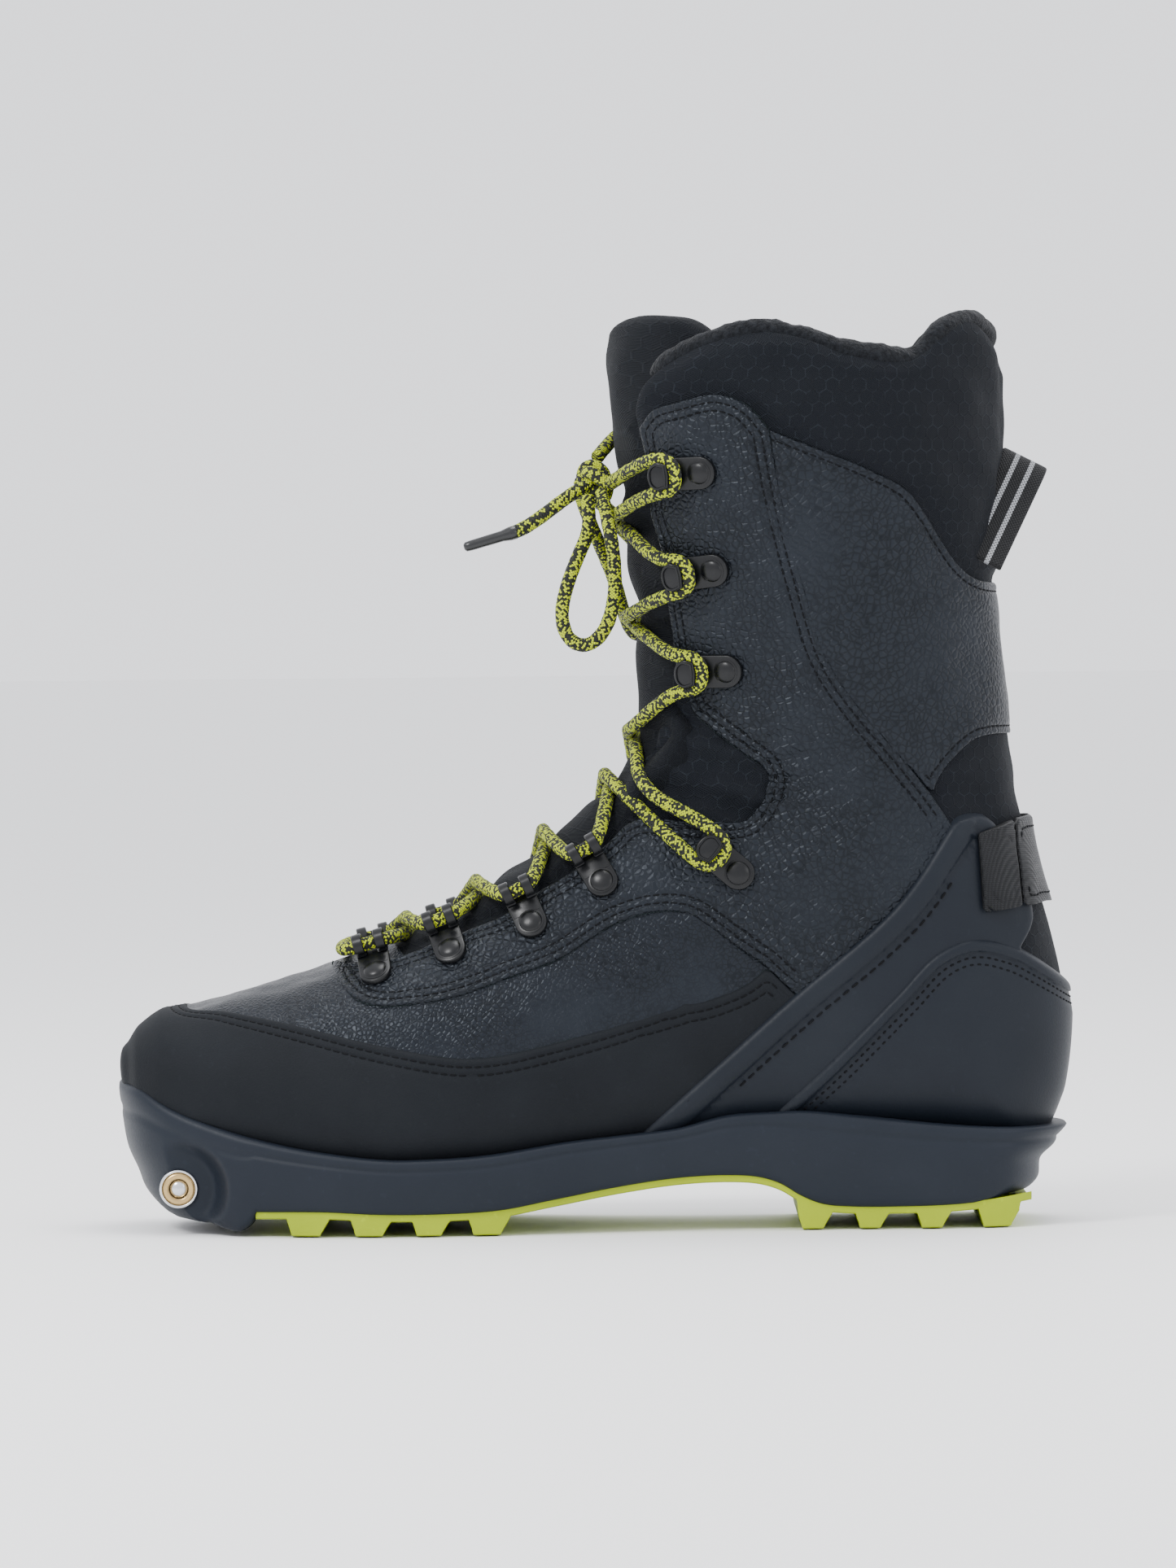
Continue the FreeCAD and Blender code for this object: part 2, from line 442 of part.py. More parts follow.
# ---- sole ------------------------------------------------------------------------------------------
def plan_block(points, grow, z_low, z_high):
    """A vertical block on the closed smooth sole outline."""
    places = [V(x, y + math.copysign(grow, y) if abs(y) > 5 else y, z_low) for x, y in points]
    curve = Part.BSplineCurve()
    curve.interpolate(Points=places, PeriodicFlag=True)
    ring = curve.toShape().discretize(Number=2 * len(points) + 1)[:-1]
    face = Part.Face(Part.makePolygon(ring + ring[:1]))
    return face.extrude(V(0, 0, z_high - z_low))


AXLE_LINE = V(AXLE_X, -AXLE_HALF, AXLE_Z)
Y_AXIS = V(0, 1, 0)


def lug(x0, x1, z_bottom, z_top, flare):
    """A tread block across the sole, wider at its root."""
    outline = [V(x0 - flare, -BOOT_HALF_Y, z_top), V(x0, -BOOT_HALF_Y, z_bottom), V(x1, -BOOT_HALF_Y, z_bottom),
               V(x1 + 2 * flare, -BOOT_HALF_Y, z_top)]
    face = Part.Face(Part.makePolygon(outline + outline[:1]))
    return face.extrude(V(0, 2 * BOOT_HALF_Y, 0))


SHANK_START = V(-20.0, -2.0, 13.2)
SHANK_SIZE = (95.0, 16.6, 2.0)
SHANK_RISE = 5.23             # degrees


def shank_block(clear):
    """The flat stiffener under the arch, or with 'clear' the pocket it lies in."""
    long, wide, thick = (size + 2.0 * clear for size in SHANK_SIZE)
    block = Part.makeBox(long, wide, thick, SHANK_START - V(clear, wide / 2.0, clear))
    block.rotate(SHANK_START, V(0, 1, 0), -SHANK_RISE)
    return block


LUG_TOP, LUG_FLARE = 5.6, 1.6


def make_sole():
    plan = plan_block(SOLE_PLAN, 0.0, -5.0, 60.0)
    profile = side_cutter([SOLE_RIM, back(SOLE_TAIL), back(SOLE_BOTTOM), back(SOLE_NOSE)])
    frame_zone = side_cutter([[(13.9, 10.0), (13.9, 30.3)], [(13.9, 30.3), (60.0, 60.0)],
                              [(60.0, 60.0), (160.0, 60.0)], [(160.0, 60.0), (160.0, 10.0)]])
    sole = profile.common(plan)
    sole = sole.cut(last_at(LEATHER + 0.1))
    sole = sole.cut(last_at(HEEL_CUP + 0.1).common(frame_zone))
    groove_half, groove_gap = 5.0, 13.0
    for side in (-1, 1):
        low = V(-112.0, side * groove_gap - groove_half, -2.0)
        sole = sole.cut(Part.makeBox(86.0, 2 * groove_half, 10.5, low))
    # centre slot that bares the binding axle for the binding's jaw
    sole = sole.cut(Part.makeBox(26.0, 22.0, 20.0, V(-148.0, -11.0, 0.0)))
    sole = sole.cut(Part.makeCylinder(AXLE_R + 0.1, 90.0, V(AXLE_X, -45.0, AXLE_Z), Y_AXIS))
    for side in (-1, 1):
        start = V(AXLE_X, side * (AXLE_HALF - BUSH_LONG), AXLE_Z)
        sole = sole.cut(Part.makeCylinder(BUSH_R + 0.05, 30.0, start, V(0, side, 0)))
    keep("sole_frame", sole.cut(shank_block(0.2)))
    keep("shank", shank_block(0.0))
    axle = Part.makeCylinder(AXLE_R, 2 * AXLE_HALF - 2.0, AXLE_LINE + V(0, 1, 0), Y_AXIS)
    tips = [placed(dome(AXLE_R, 0.9, 0.0), FreeCAD.Placement(V(AXLE_X, side * (AXLE_HALF - 1.0), AXLE_Z),
            FreeCAD.Rotation(V(0, 0, 1), V(0, side, 0)))) for side in (-1, 1)]
    keep("binding_axle", axle.fuse(tips))
    bushes = []
    for side in (-1, 1):
        start = V(AXLE_X, side * (AXLE_HALF - BUSH_LONG), AXLE_Z)
        ring = Part.makeCylinder(BUSH_R, BUSH_LONG, start, V(0, side, 0))
        bushes.append(ring.cut(Part.makeCylinder(AXLE_R + 0.05, BUSH_LONG, start, V(0, side, 0))))
    keep("axle_bushes", Part.makeCompound(bushes))
    sheet_top = moved(SOLE_BOTTOM, 0.0, -0.05)
    sheet = side_cutter([sheet_top, back(moved(SOLE_BOTTOM, 0.0, -TREAD_THICK))])
    blocks = [lug(x0, x1, 0.0, LUG_TOP, LUG_FLARE) for x0, x1 in FORE_LUGS + HEEL_LUGS]
    under = side_cutter([sheet_top, [(136.6, 10.25), (136.6, -5.0)], [(136.6, -5.0), (-107.4, -5.0)],
                         [(-107.4, -5.0), (-107.4, 7.45)]])
    tread = sheet.fuse([block.common(under) for block in blocks])
    tread = tread.common(plan_block(SOLE_PLAN, -1.5, -5.0, 60.0))
    for side in (-1, 1):
        low = V(-112.0, side * groove_gap - groove_half, -2.0)
        tread = tread.cut(Part.makeBox(86.0, 2 * groove_half, 10.5, low))
    keep("tread", tread)


# ---- strap and pull loop ---------------------------------------------------------------------------
STRAP_EDGE = [(120.9, 123.0), (122.1, 98.6), (139.7, 100.9), (160.0, 104.0), (160.0, 127.0), (139.5, 128.1),
              (135.0, 127.6)]
FLAP_SPLIT_TOP, FLAP_SPLIT_LOW = (132.4, 127.0), (134.6, 100.2)


def make_strap():
    whole = [[a, b] for a, b in zip(STRAP_EDGE, STRAP_EDGE[1:] + STRAP_EDGE[:1])]
    band = panel(STRAP_OUT, whole, STRAP_IN)
    flap_zone = [[(118.0, 130.0), (FLAP_SPLIT_TOP[0], 130.0)], [(FLAP_SPLIT_TOP[0], 130.0), FLAP_SPLIT_LOW],
                 [FLAP_SPLIT_LOW, (FLAP_SPLIT_LOW[0], 94.0)], [(FLAP_SPLIT_LOW[0], 94.0), (118.0, 94.0)]]
    flap_block = side_cutter(flap_zone, y_high=0.0)
    cut_block = side_cutter([moved(curve, 2.0 * PART_GAP, 0.0) for curve in flap_zone], y_high=0.0)
    keep("strap_flap", band.common(flap_block))
    band = band.cut(cut_block)
    keep("strap_band", band)
    patch = [[(123.5, 121.0), (131.0, 121.0)], [(131.0, 121.0), (132.6, 102.5)], [(132.6, 102.5), (124.5, 101.0)]]
    keep("strap_hook_patch", panel(PATCH_OUT, patch, FRAME + 0.05, y_high=-1.0))


LOOP_FOOT = V(121.5, 0.0, 209.5)
LOOP_LEAN = math.radians(27.0)
LOOP_TALL = 36.0


def make_pull_loop():
    """A strip of webbing folded over into a loop, standing out from the back of the shaft."""
    half_low, half_high = 24.5, 7.0
    up = V(math.sin(LOOP_LEAN), 0, math.cos(LOOP_LEAN))
    wide = V(math.cos(LOOP_LEAN), 0, -math.sin(LOOP_LEAN)) * WEB_WIDE
    path = [(-half_low, 0.0), (-half_high - 2.0, LOOP_TALL - 5.0), (-half_high + 2.0, LOOP_TALL - 1.0),
            (half_high - 2.0, LOOP_TALL - 1.0), (half_high + 2.0, LOOP_TALL - 5.0), (half_low, 0.0)]
    outer = [LOOP_FOOT + V(0, y, 0) + up * rise for y, rise in path]
    inner_path = [(y - math.copysign(WEB_THICK * 1.2, y), rise - (WEB_THICK if rise > 0 else 0)) for y, rise in path]
    inner = [LOOP_FOOT + V(0, y, 0) + up * rise for y, rise in inner_path]
    ring = Part.makePolygon(outer + inner[::-1] + outer[:1])
    strip = Part.Face(ring).extrude(wide)
    strip.translate(wide * -0.5)
    strip = strip.cut(last_at(CUFF + 0.6))
    keep("pull_loop", strip)


# ---- laces -----------------------------------------------------------------------------------------
KNOT = V(1.5, -3.0, 236.0)
KNOT_SIZE = (6.4, 7.0, 8.2)
BOW_LOOP_NEAR = [(-1.5, -9.0, 231.0), (0.0, -11.5, 221.5), (-4.5, -13.5, 212.0), (-8.4, -15.0, 202.0),
                 (-10.2, -16.5, 193.0), (-8.0, -18.0, 185.5), (-2.0, -19.5, 183.0), (4.0, -20.5, 188.0),
                 (7.0, -21.5, 198.0), (7.2, -22.0, 208.0), (6.0, -21.0, 218.0), (3.2, -15.5, 227.0),
                 (3.2, -9.5, 232.0)]
BOW_LOOP_FAR = [(-3.5, 3.0, 235.5), (-2.0, 12.0, 233.0), (4.0, 22.5, 228.0), (11.5, 33.0, 222.0),
                (17.5, 41.0, 214.5), (20.5, 46.0, 204.5), (20.0, 46.5, 194.0), (17.0, 43.0, 187.0),
                (13.0, 37.0, 186.5), (10.0, 31.0, 193.5), (7.5, 25.0, 203.5), (3.5, 17.5, 213.5),
                (-0.5, 9.5, 222.5), (-3.0, 2.5, 230.0)]
TAIL_NEAR = [(-3.5, -6.0, 233.5), (-9.5, -7.5, 229.5), (-16.0, -9.5, 224.5), (-22.5, -11.0, 220.3)]
TAIL_NEAR_TIP = (-40.0, -13.0, 215.2)
TAIL_FAR = [(2.0, 2.5, 243.5), (6.0, 11.5, 248.5), (10.0, 22.0, 252.0), (14.0, 33.0, 252.0),
            (17.5, 43.0, 247.5), (20.5, 49.5, 238.5), (22.5, 52.0, 227.5), (23.0, 52.5, 216.5)]
TAIL_FAR_TIP = (23.5, 52.0, 198.0)
AGLET_GAP = 0.4


def tube(points, radius=LACE_R):
    """A round tube along straight runs joined by tangent arcs, each as large as its two runs allow."""
    points = [V(*p) if isinstance(p, tuple) else p for p in points]
    edges, bends = [], []
    last = points[0]
    for before, here, after in zip(points, points[1:], points[2:]):
        come, go = here - before, after - here
        turn = come.getAngle(go)
        cut = 0.45 * min(come.Length, go.Length)
        bends.append(cut / math.tan(turn / 2.0))
        come.normalize()
        go.normalize()
        start, end = here - come * cut, here + go * cut
        bisector = go - come
        bisector.normalize()
        to_middle = bends[-1] * (1.0 / math.cos(turn / 2.0) - 1.0)
        middle = here + bisector * to_middle
        edges += [Part.LineSegment(last, start).toShape(), Part.Arc(start, middle, end).toShape()]
        last = end
    edges.append(Part.LineSegment(last, points[-1]).toShape())
    path = Part.Wire(edges)
    ring = Part.Wire(Part.makeCircle(radius, points[0], points[1] - points[0]))
    solid = path.makePipeShell([ring], True, True)
    share = solid.Volume / (math.pi * radius ** 2 * path.Length)
    print("  tube length", round(path.Length, 1), "tightest bend", round(min(bends), 1), "volume share",
          round(share, 4), flush=True)
    return solid


def centre_place(value, upright):
    """The place of a centre-line point by its x (foot) or, when upright, by its z (shaft)."""
    def measure(place):
        top = last_point(place, 0.0, 0.0)
        return top.z if upright else top.x
    low, high = 0.0, len(STATIONS) - 1.0
    for _ in range(40):
        middle = 0.5 * (low + high)
        if measure(middle) < value:
            low = middle
        else:
            high = middle
    return low


TONGUE_CLEAR = TONGUE_OUT + LACE_R + 2.9    # a lace that lies on the tongue
OVER_CLEAR = TONGUE_CLEAR + 2 * LACE_R + 0.7    # a lace that passes over another one


def centre_point(value, upright, out, y=0.0):
    """A point over the centre line; y moves it aside along the same section."""
    station = station_at(centre_place(value, upright))
    half, round_a = station[4], station[7]
    angle = math.asin(min(1.0, (abs(y) / half) ** (round_a / 2.0)))
    return section_point(station, math.copysign(angle, -y), out)


def channel_ends(number, side):
    """The toe end and the heel end of a lace tube, a little outside it."""
    foot, tip = LACE_LOOPS[number]
    toward = (foot[0] + 0.35 * (tip[0] - foot[0]), foot[1] + 0.35 * (tip[1] - foot[1]))
    spot = seat(foot[0], foot[1], LEATHER, side, toward)
    ends = [spot.multVec(V(CHANNEL_X, y, CHANNEL_Z)) for y in (-CHANNEL_LONG * 0.5, CHANNEL_LONG * 0.5)]
    return sorted(ends, key=lambda place: place.x)


def round_neck(foot, tip, side):
    """Four points that take a lace round a hook's neck, from below to above it."""
    spot = seat(foot[0], foot[1], LEATHER, side, tip)
    reach, height = NECK_R + LACE_R + 0.9, PLATE_LIFT + PLATE_THICK + LACE_R + 0.45
    neck_x = HOOK_REACH + 1.2
    places = [spot.multVec(V(neck_x + dx, dy, height)) for dx, dy in
              ((5.5, -reach - 0.6), (-reach, -reach), (-reach, reach), (5.5, reach + 0.6))]
    return places if places[0].z < places[3].z else places[::-1]


CROSS_X = [-60.0, -37.5, -15.5]
CROSS_Z = [138.0, 152.5, 189.5, 221.0]


def crossing(value, upright, over, side):
    """Three points that take a lace over the tongue, from one side to the other."""
    out = OVER_CLEAR if over else TONGUE_CLEAR
    return [centre_point(value, upright, out + 0.3, side * 9.0), centre_point(value, upright, out + 0.3, -side * 9.0)]


def pressed(strands, kinds):
    """Lace strands, trimmed where they press against the pieces whose names begin with the given kinds."""
    around = [shape for name, shape in NODES.items() if name.startswith(tuple(kinds))]
    for shape in around:
        strands = [strand.cut(shape) for strand in strands]
    return Part.makeCompound(strands)


def make_laces():
    lower, upper = [], []
    for start_side in (-1, 1):
        side = start_side
        over = start_side > 0
        route = [] if over else [centre_point(-80.5, False, TONGUE_CLEAR + 6.0, y) for y in (16.0, -16.0)]
        for number in range(len(LACE_LOOPS)):
            toe_end, heel_end = channel_ends(number, side)
            route += [toe_end, heel_end]
            if number < len(CROSS_X):
                route += crossing(CROSS_X[number], False, over, side)
                side, over = -side, not over
        route += crossing(CROSS_Z[0], True, over, side)
        side, over = -side, not over
        neck = round_neck(*ANKLE_HOOK, side)
        route += neck
        parting = centre_point(146.5, True, LEATHER + LACE_R + 2.0, side * 22.0)
        route.append(parting)
        if start_side < 0:
            medial_toe = channel_ends(0, 1)[0]
            route = [medial_toe + V(0.1, 0, 0)] + route
        else:
            route = route[1:]
        lower.append(tube(route))
        ahead = crossing(CROSS_Z[1], True, over, side)
        step = ahead[0] - parting
        step.normalize()
        route = [parting + step * 2.2] + ahead
        side, over = -side, not over
        for index, hook in enumerate(reversed(UPPER_HOOKS)):
            route += round_neck(hook[0], hook[1], side)
            if index < 2:
                route += crossing(CROSS_Z[2 + index], True, over, side)
                side, over = -side, not over
        route.append(KNOT + V(4.5, side * 6.5, -1.0))
        upper.append(tube(route))
    keep("lace_lower", pressed(lower, ["quarter_", "flex_insert_", "lace_loop_", "tongue_lower", "ankle_hook_"]))
    knot = Part.makeSphere(1.0)
    grow = FreeCAD.Matrix()
    grow.scale(*KNOT_SIZE)
    knot = knot.transformGeometry(grow)
    knot.translate(KNOT)
    held = pressed([strand.cut(knot) for strand in upper], ["tongue_upper", "shaft_front_", "upper_hook_"])
    keep("lace_upper", held)
    keep("bow_knot", knot)
    for name, points in (("bow_loop_near", BOW_LOOP_NEAR), ("bow_loop_far", BOW_LOOP_FAR),
                         ("lace_tail_near", TAIL_NEAR), ("lace_tail_far", TAIL_FAR)):
        keep(name, tube(points).cut(knot))
    aglets = []
    for end, tip in ((TAIL_NEAR[-1], TAIL_NEAR_TIP), (TAIL_FAR[-1], TAIL_FAR_TIP)):
        along = V(*tip) - V(*end)
        along.normalize()
        aglets.append(Part.makeCylinder(AGLET_R, AGLET_LONG, V(*end) + along * AGLET_GAP, along))
    keep("aglets", Part.makeCompound(aglets))


make_panels()
make_inside()
make_sole()
make_hardware()
make_strap()
make_pull_loop()
make_laces()

os.makedirs("parts", exist_ok=True)
for node_name, node_shape in NODES.items():
    node_shape.exportStep(os.path.join("parts", node_name + ".step"))
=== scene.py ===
import bmesh
import bpy
import math
import numpy as np
from mathutils import Vector, Matrix, kdtree


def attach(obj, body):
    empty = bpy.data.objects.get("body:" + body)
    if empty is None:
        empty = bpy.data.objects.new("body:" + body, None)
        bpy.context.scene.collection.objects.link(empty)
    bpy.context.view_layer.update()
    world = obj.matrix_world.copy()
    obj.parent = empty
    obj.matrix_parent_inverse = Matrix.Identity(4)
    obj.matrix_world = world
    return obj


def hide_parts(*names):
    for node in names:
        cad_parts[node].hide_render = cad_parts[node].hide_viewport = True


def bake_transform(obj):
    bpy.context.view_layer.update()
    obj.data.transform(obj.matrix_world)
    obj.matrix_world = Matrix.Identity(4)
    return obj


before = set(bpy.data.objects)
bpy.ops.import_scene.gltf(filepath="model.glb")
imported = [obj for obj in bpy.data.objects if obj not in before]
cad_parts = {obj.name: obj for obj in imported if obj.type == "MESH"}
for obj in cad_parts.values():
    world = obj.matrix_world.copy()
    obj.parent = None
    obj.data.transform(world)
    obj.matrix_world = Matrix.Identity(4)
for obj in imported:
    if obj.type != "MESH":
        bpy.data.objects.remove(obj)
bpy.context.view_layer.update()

MM = 0.001

# ---- Camera.  Millimetres below are in the boot's own frame: toe along -X, lateral side along -Y ----
CAMERA_AWAY = 2600.0          # distance from the boot's middle plane
CAMERA_HIGH = 200.0           # above the floor
SENSOR_TALL, LENS = 36.0, 187.7343    # a long lens seen from far away keeps the side view nearly flat
AIM_X, AIM_Z = -2.0, 139.6
CAMERA_ROLL = 0.0096          # radians


def make_camera():
    data = bpy.data.cameras.new("camera")
    data.sensor_fit = 'VERTICAL'
    data.sensor_height = SENSOR_TALL
    data.lens = LENS
    data.clip_end = 20.0
    camera = bpy.data.objects.new("camera", data)
    bpy.context.collection.objects.link(camera)
    place = Vector((AIM_X, -CAMERA_AWAY, CAMERA_HIGH)) * MM
    aim = Vector((AIM_X, 0.0, AIM_Z)) * MM
    turn = (aim - place).to_track_quat('-Z', 'Y').to_matrix().to_4x4()
    camera.matrix_world = Matrix.Translation(place) @ turn @ Matrix.Rotation(-CAMERA_ROLL, 4, 'Z')
    bpy.context.scene.camera = camera


make_camera()

# ---- Helpers: objects, curves and node-based materials ----
FOOT, SHAFT = "boot_foot", "shaft"


def link(name, mesh, materials, smooth=True):
    """Put a mesh into the scene as an object with its materials."""
    obj = bpy.data.objects.new(name, mesh)
    bpy.context.collection.objects.link(obj)
    for material in materials:
        mesh.materials.append(material)
    if smooth:
        mesh.polygons.foreach_set("use_smooth", [True] * len(mesh.polygons))
    return obj


def mesh_from(name, places, faces, materials, kinds=None, uv=None, smooth=True):
    """An object from points in millimetres, triangles or quads, and a material number per face."""
    mesh = bpy.data.meshes.new(name)
    mesh.from_pydata((np.asarray(places, float) * MM).tolist(), [], [list(map(int, f)) for f in faces])
    obj = link(name, mesh, materials, smooth)
    if kinds is not None:
        mesh.polygons.foreach_set("material_index", np.asarray(kinds, np.int32))
    if uv is not None:
        layer = mesh.uv_layers.new(name="UVMap")
        corner = np.empty(len(mesh.loops), np.int32)
        mesh.loops.foreach_get("vertex_index", corner)
        layer.data.foreach_set("uv", np.asarray(uv, float)[corner].ravel())
    mesh.update()
    return obj


def bend(obj, *nodes):
    """Bake the piece's placement into its mesh and hide the CAD parts it replaces."""
    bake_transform(obj)
    if nodes:
        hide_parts(*nodes)


def smooth_curve(points, step=1.0):
    """Catmull-Rom points through the given side-view points."""
    pts = np.asarray(points, float)
    if len(pts) == 2:
        count = max(2, int(np.linalg.norm(pts[1] - pts[0]) / step) + 1)
        share = np.linspace(0.0, 1.0, count)[:, None]
        return pts[0] * (1 - share) + pts[1] * share
    ends = np.vstack([2 * pts[0] - pts[1], pts, 2 * pts[-1] - pts[-2]])
    out = []
    for a, b, c, d in zip(ends, ends[1:], ends[2:], ends[3:]):
        gap = np.sqrt(np.linalg.norm(np.diff([a, b, c, d], axis=0), axis=1)) + 1e-9
        t0, t1, t2, t3 = 0.0, gap[0], gap[0] + gap[1], gap.sum()
        count = max(2, int(np.linalg.norm(c - b) / step) + 1)
        for t in np.linspace(t1, t2, count, endpoint=False):
            a1 = (t1 - t) / (t1 - t0) * a + (t - t0) / (t1 - t0) * b
            a2 = (t2 - t) / (t2 - t1) * b + (t - t1) / (t2 - t1) * c
            a3 = (t3 - t) / (t3 - t2) * c + (t - t2) / (t3 - t2) * d
            b1 = (t2 - t) / (t2 - t0) * a1 + (t - t0) / (t2 - t0) * a2
            b2 = (t3 - t) / (t3 - t1) * a2 + (t - t1) / (t3 - t1) * a3
            out.append((t2 - t) / (t2 - t1) * b1 + (t - t1) / (t2 - t1) * b2)
    out.append(pts[-1])
    return np.array(out)


def travel(line):
    """Distance travelled along a line at each of its points."""
    return np.concatenate([[0.0], np.cumsum(np.linalg.norm(np.diff(line, axis=0), axis=1))])


def grid_faces(rows, wide, ring=True, start=0):
    """Quads between rows of wide points each; ring joins the last point of a row to its first."""
    faces = []
    for a in range(start, start + (rows - 1) * wide, wide):
        faces += [(a + k, a + (k + 1) % wide, a + wide + (k + 1) % wide, a + wide + k)
                  for k in range(wide if ring else wide - 1)]
    return faces


def end_faces(rows, wide, corners=None):
    """One face over the first row and one over the last."""
    corners = corners or wide
    return [tuple(range(corners))[::-1], tuple((rows - 1) * wide + k for k in range(corners))]


def outline_of(curves):
    """The closed side-view outline made of several curves, joined in order."""
    whole = []
    for points in curves:
        for place in smooth_curve(points):
            if not whole or np.linalg.norm(place - whole[-1]) > 1e-3:
                whole.append(place)
    if np.linalg.norm(whole[0] - whole[-1]) < 1e-3:
        whole.pop()
    return np.array(whole)


MANY_SIDES = 100              # a face with more corners is split into triangles


def set_normals(obj, weld=0.0, sharp=None):
    """Weld points closer than weld metres, turn all faces outward, and mark edges over sharp radians."""
    work = bmesh.new()
    work.from_mesh(obj.data)
    if weld:
        bmesh.ops.remove_doubles(work, verts=work.verts, dist=weld)
    bmesh.ops.triangulate(work, faces=[f for f in work.faces if len(f.verts) > MANY_SIDES])
    bmesh.ops.recalc_face_normals(work, faces=work.faces)
    if sharp:
        for edge in work.edges:
            if len(edge.link_faces) == 2 and edge.calc_face_angle(0.0) > sharp:
                edge.smooth = False
    work.to_mesh(obj.data)
    work.free()


def back(points):
    return list(reversed(points))


def moved(points, dx, dz):
    """The same points shifted on the side view."""
    return [(x + dx, z + dz) for x, z in points]


# ---- materials ----
class Shader:
    """A small helper that builds a node material around one principled shader."""

    def __init__(self, name, colour, rough=0.6, metal=0.0, sheen=0.0, coat=0.0, spec=0.5):
        self.material = bpy.data.materials.new(name)
        self.material.use_nodes = True
        self.tree = self.material.node_tree
        self.main = self.tree.nodes["Principled BSDF"]
        self.set("Base Color", (*colour, 1.0))
        self.set("Roughness", rough)
        self.set("Metallic", metal)
        self.set("Specular IOR Level", spec)
        if sheen:
            self.set("Sheen Weight", sheen)
            self.set("Sheen Roughness", 0.45)
        if coat:
            self.set("Coat Weight", coat)
            self.set("Coat Roughness", 0.25)
        self.material.diffuse_color = (*colour, 1.0)
        self.space = self.node("ShaderNodeTexCoord").outputs["Object"]
        self.uv = self.tree.nodes[-1].outputs["UV"]
        self.height = None

    def set(self, socket, value):
        self.main.inputs[socket].default_value = value

    def node(self, kind, **values):
        made = self.tree.nodes.new(kind)
        for key, value in values.items():
            setattr(made, key, value)
        return made

    def join(self, out, into):
        self.tree.links.new(out, into)

    def put(self, socket, value):
        if isinstance(value, (int, float, tuple)):
            socket.default_value = value
        else:
            self.join(value, socket)

    def math(self, kind, a, b=0.0, c=0.0, clamp=False):
        made = self.node("ShaderNodeMath", operation=kind, use_clamp=clamp)
        for socket, value in zip(made.inputs, (a, b, c)):
            self.put(socket, value)
        return made.outputs[0]

    def vector(self, kind, a, b=(0.0, 0.0, 0.0), out=0):
        made = self.node("ShaderNodeVectorMath", operation=kind)
        self.put(made.inputs[0], a)
        self.put(made.inputs[1], b)
        return made.outputs[out]

    def parts(self, source):
        """The X, Y and Z outputs of a vector."""
        made = self.node("ShaderNodeSeparateXYZ")
        self.join(source, made.inputs[0])
        return made.outputs

    def scaled(self, factors, source=None):
        return self.vector("MULTIPLY", source or self.space, factors)

    def noise(self, size_mm, detail=3.0, rough=0.55, source=None, warp=0.0):
        made = self.node("ShaderNodeTexNoise")
        self.put(made.inputs["Vector"], source or self.space)
        made.inputs["Scale"].default_value = 1000.0 / size_mm
        made.inputs["Detail"].default_value = detail
        made.inputs["Roughness"].default_value = rough
        made.inputs["Distortion"].default_value = warp
        return made.outputs["Fac"]

    def cells(self, size_mm, feature="F1", source=None, random=1.0, out="Distance"):
        made = self.node("ShaderNodeTexVoronoi", feature=feature)
        self.put(made.inputs["Vector"], source or self.space)
        made.inputs["Scale"].default_value = 1000.0 / size_mm
        made.inputs["Randomness"].default_value = random
        return made.outputs[out]

    def ramp(self, value, low, high, clamp=True):
        made = self.node("ShaderNodeMapRange", clamp=clamp)
        self.put(made.inputs["Value"], value)
        made.inputs["From Min"].default_value = low
        made.inputs["From Max"].default_value = high
        return made.outputs["Result"]

    def mix(self, share, a, b):
        made = self.node("ShaderNodeMix", data_type='RGBA')
        self.put(made.inputs["Factor"], share)
        self.put(made.inputs["A"], (*a, 1.0) if isinstance(a, tuple) and len(a) == 3 else a)
        self.put(made.inputs["B"], (*b, 1.0) if isinstance(b, tuple) and len(b) == 3 else b)
        return made.outputs["Result"]

    def colour(self, value):
        self.put(self.main.inputs["Base Color"], value)

    def rough(self, value):
        self.put(self.main.inputs["Roughness"], value)

    def bump(self, value, depth_mm, strength=1.0):
        made = self.node("ShaderNodeBump")
        made.inputs["Strength"].default_value = strength
        made.inputs["Distance"].default_value = depth_mm * MM
        self.put(made.inputs["Height"], value)
        if self.height is not None:
            self.join(self.height, made.inputs["Normal"])
        self.height = made.outputs["Normal"]
        self.join(self.height, self.main.inputs["Normal"])


def leather_material(name, colour, light, grain_mm, depth, rough_low, rough_high):
    """Grained leather: rounded cells with creased valleys, wider creases and soft wear; painted shade darkens
    the colour in the grain valleys.
    """
    s = Shader(name, colour, spec=0.22)
    s.set("Specular Tint", (0.80, 0.88, 1.0, 1.0))
    warped = s.node("ShaderNodeVectorMath", operation="ADD")
    s.join(s.space, warped.inputs[0])
    drift = s.node("ShaderNodeTexNoise")
    s.join(s.space, drift.inputs["Vector"])
    drift.inputs["Scale"].default_value = 160.0
    s.join(s.scaled((0.0010, 0.0010, 0.0010), drift.outputs["Color"]), warped.inputs[1])
    valley = s.cells(grain_mm, "DISTANCE_TO_EDGE", warped.outputs[0])
    grain = s.math("SMOOTH_MIN", s.math("MULTIPLY", valley, 3.2), 0.9, 0.5)
    broad = s.noise(34.0, 4.0)
    s.bump(s.noise(14.0, 2.0, 0.4), depth, 0.35)
    s.bump(grain, depth)
    s.bump(s.noise(0.5, 2.0), depth * 0.12)
    # painted shade: the grain valleys take 0.3 of the base colour, the cell tops take the light colour
    tone = s.mix(s.ramp(grain, 0.1, 0.7), tuple(v * 0.3 for v in colour), light)
    worn = s.mix(s.ramp(broad, 0.45, 0.72), tone, tuple(min(1.0, v * 1.25) for v in light))
    s.colour(worn)
    mixed = s.math("MULTIPLY_ADD", broad, rough_high - rough_low, rough_low)
    s.rough(mixed)
    return s.material


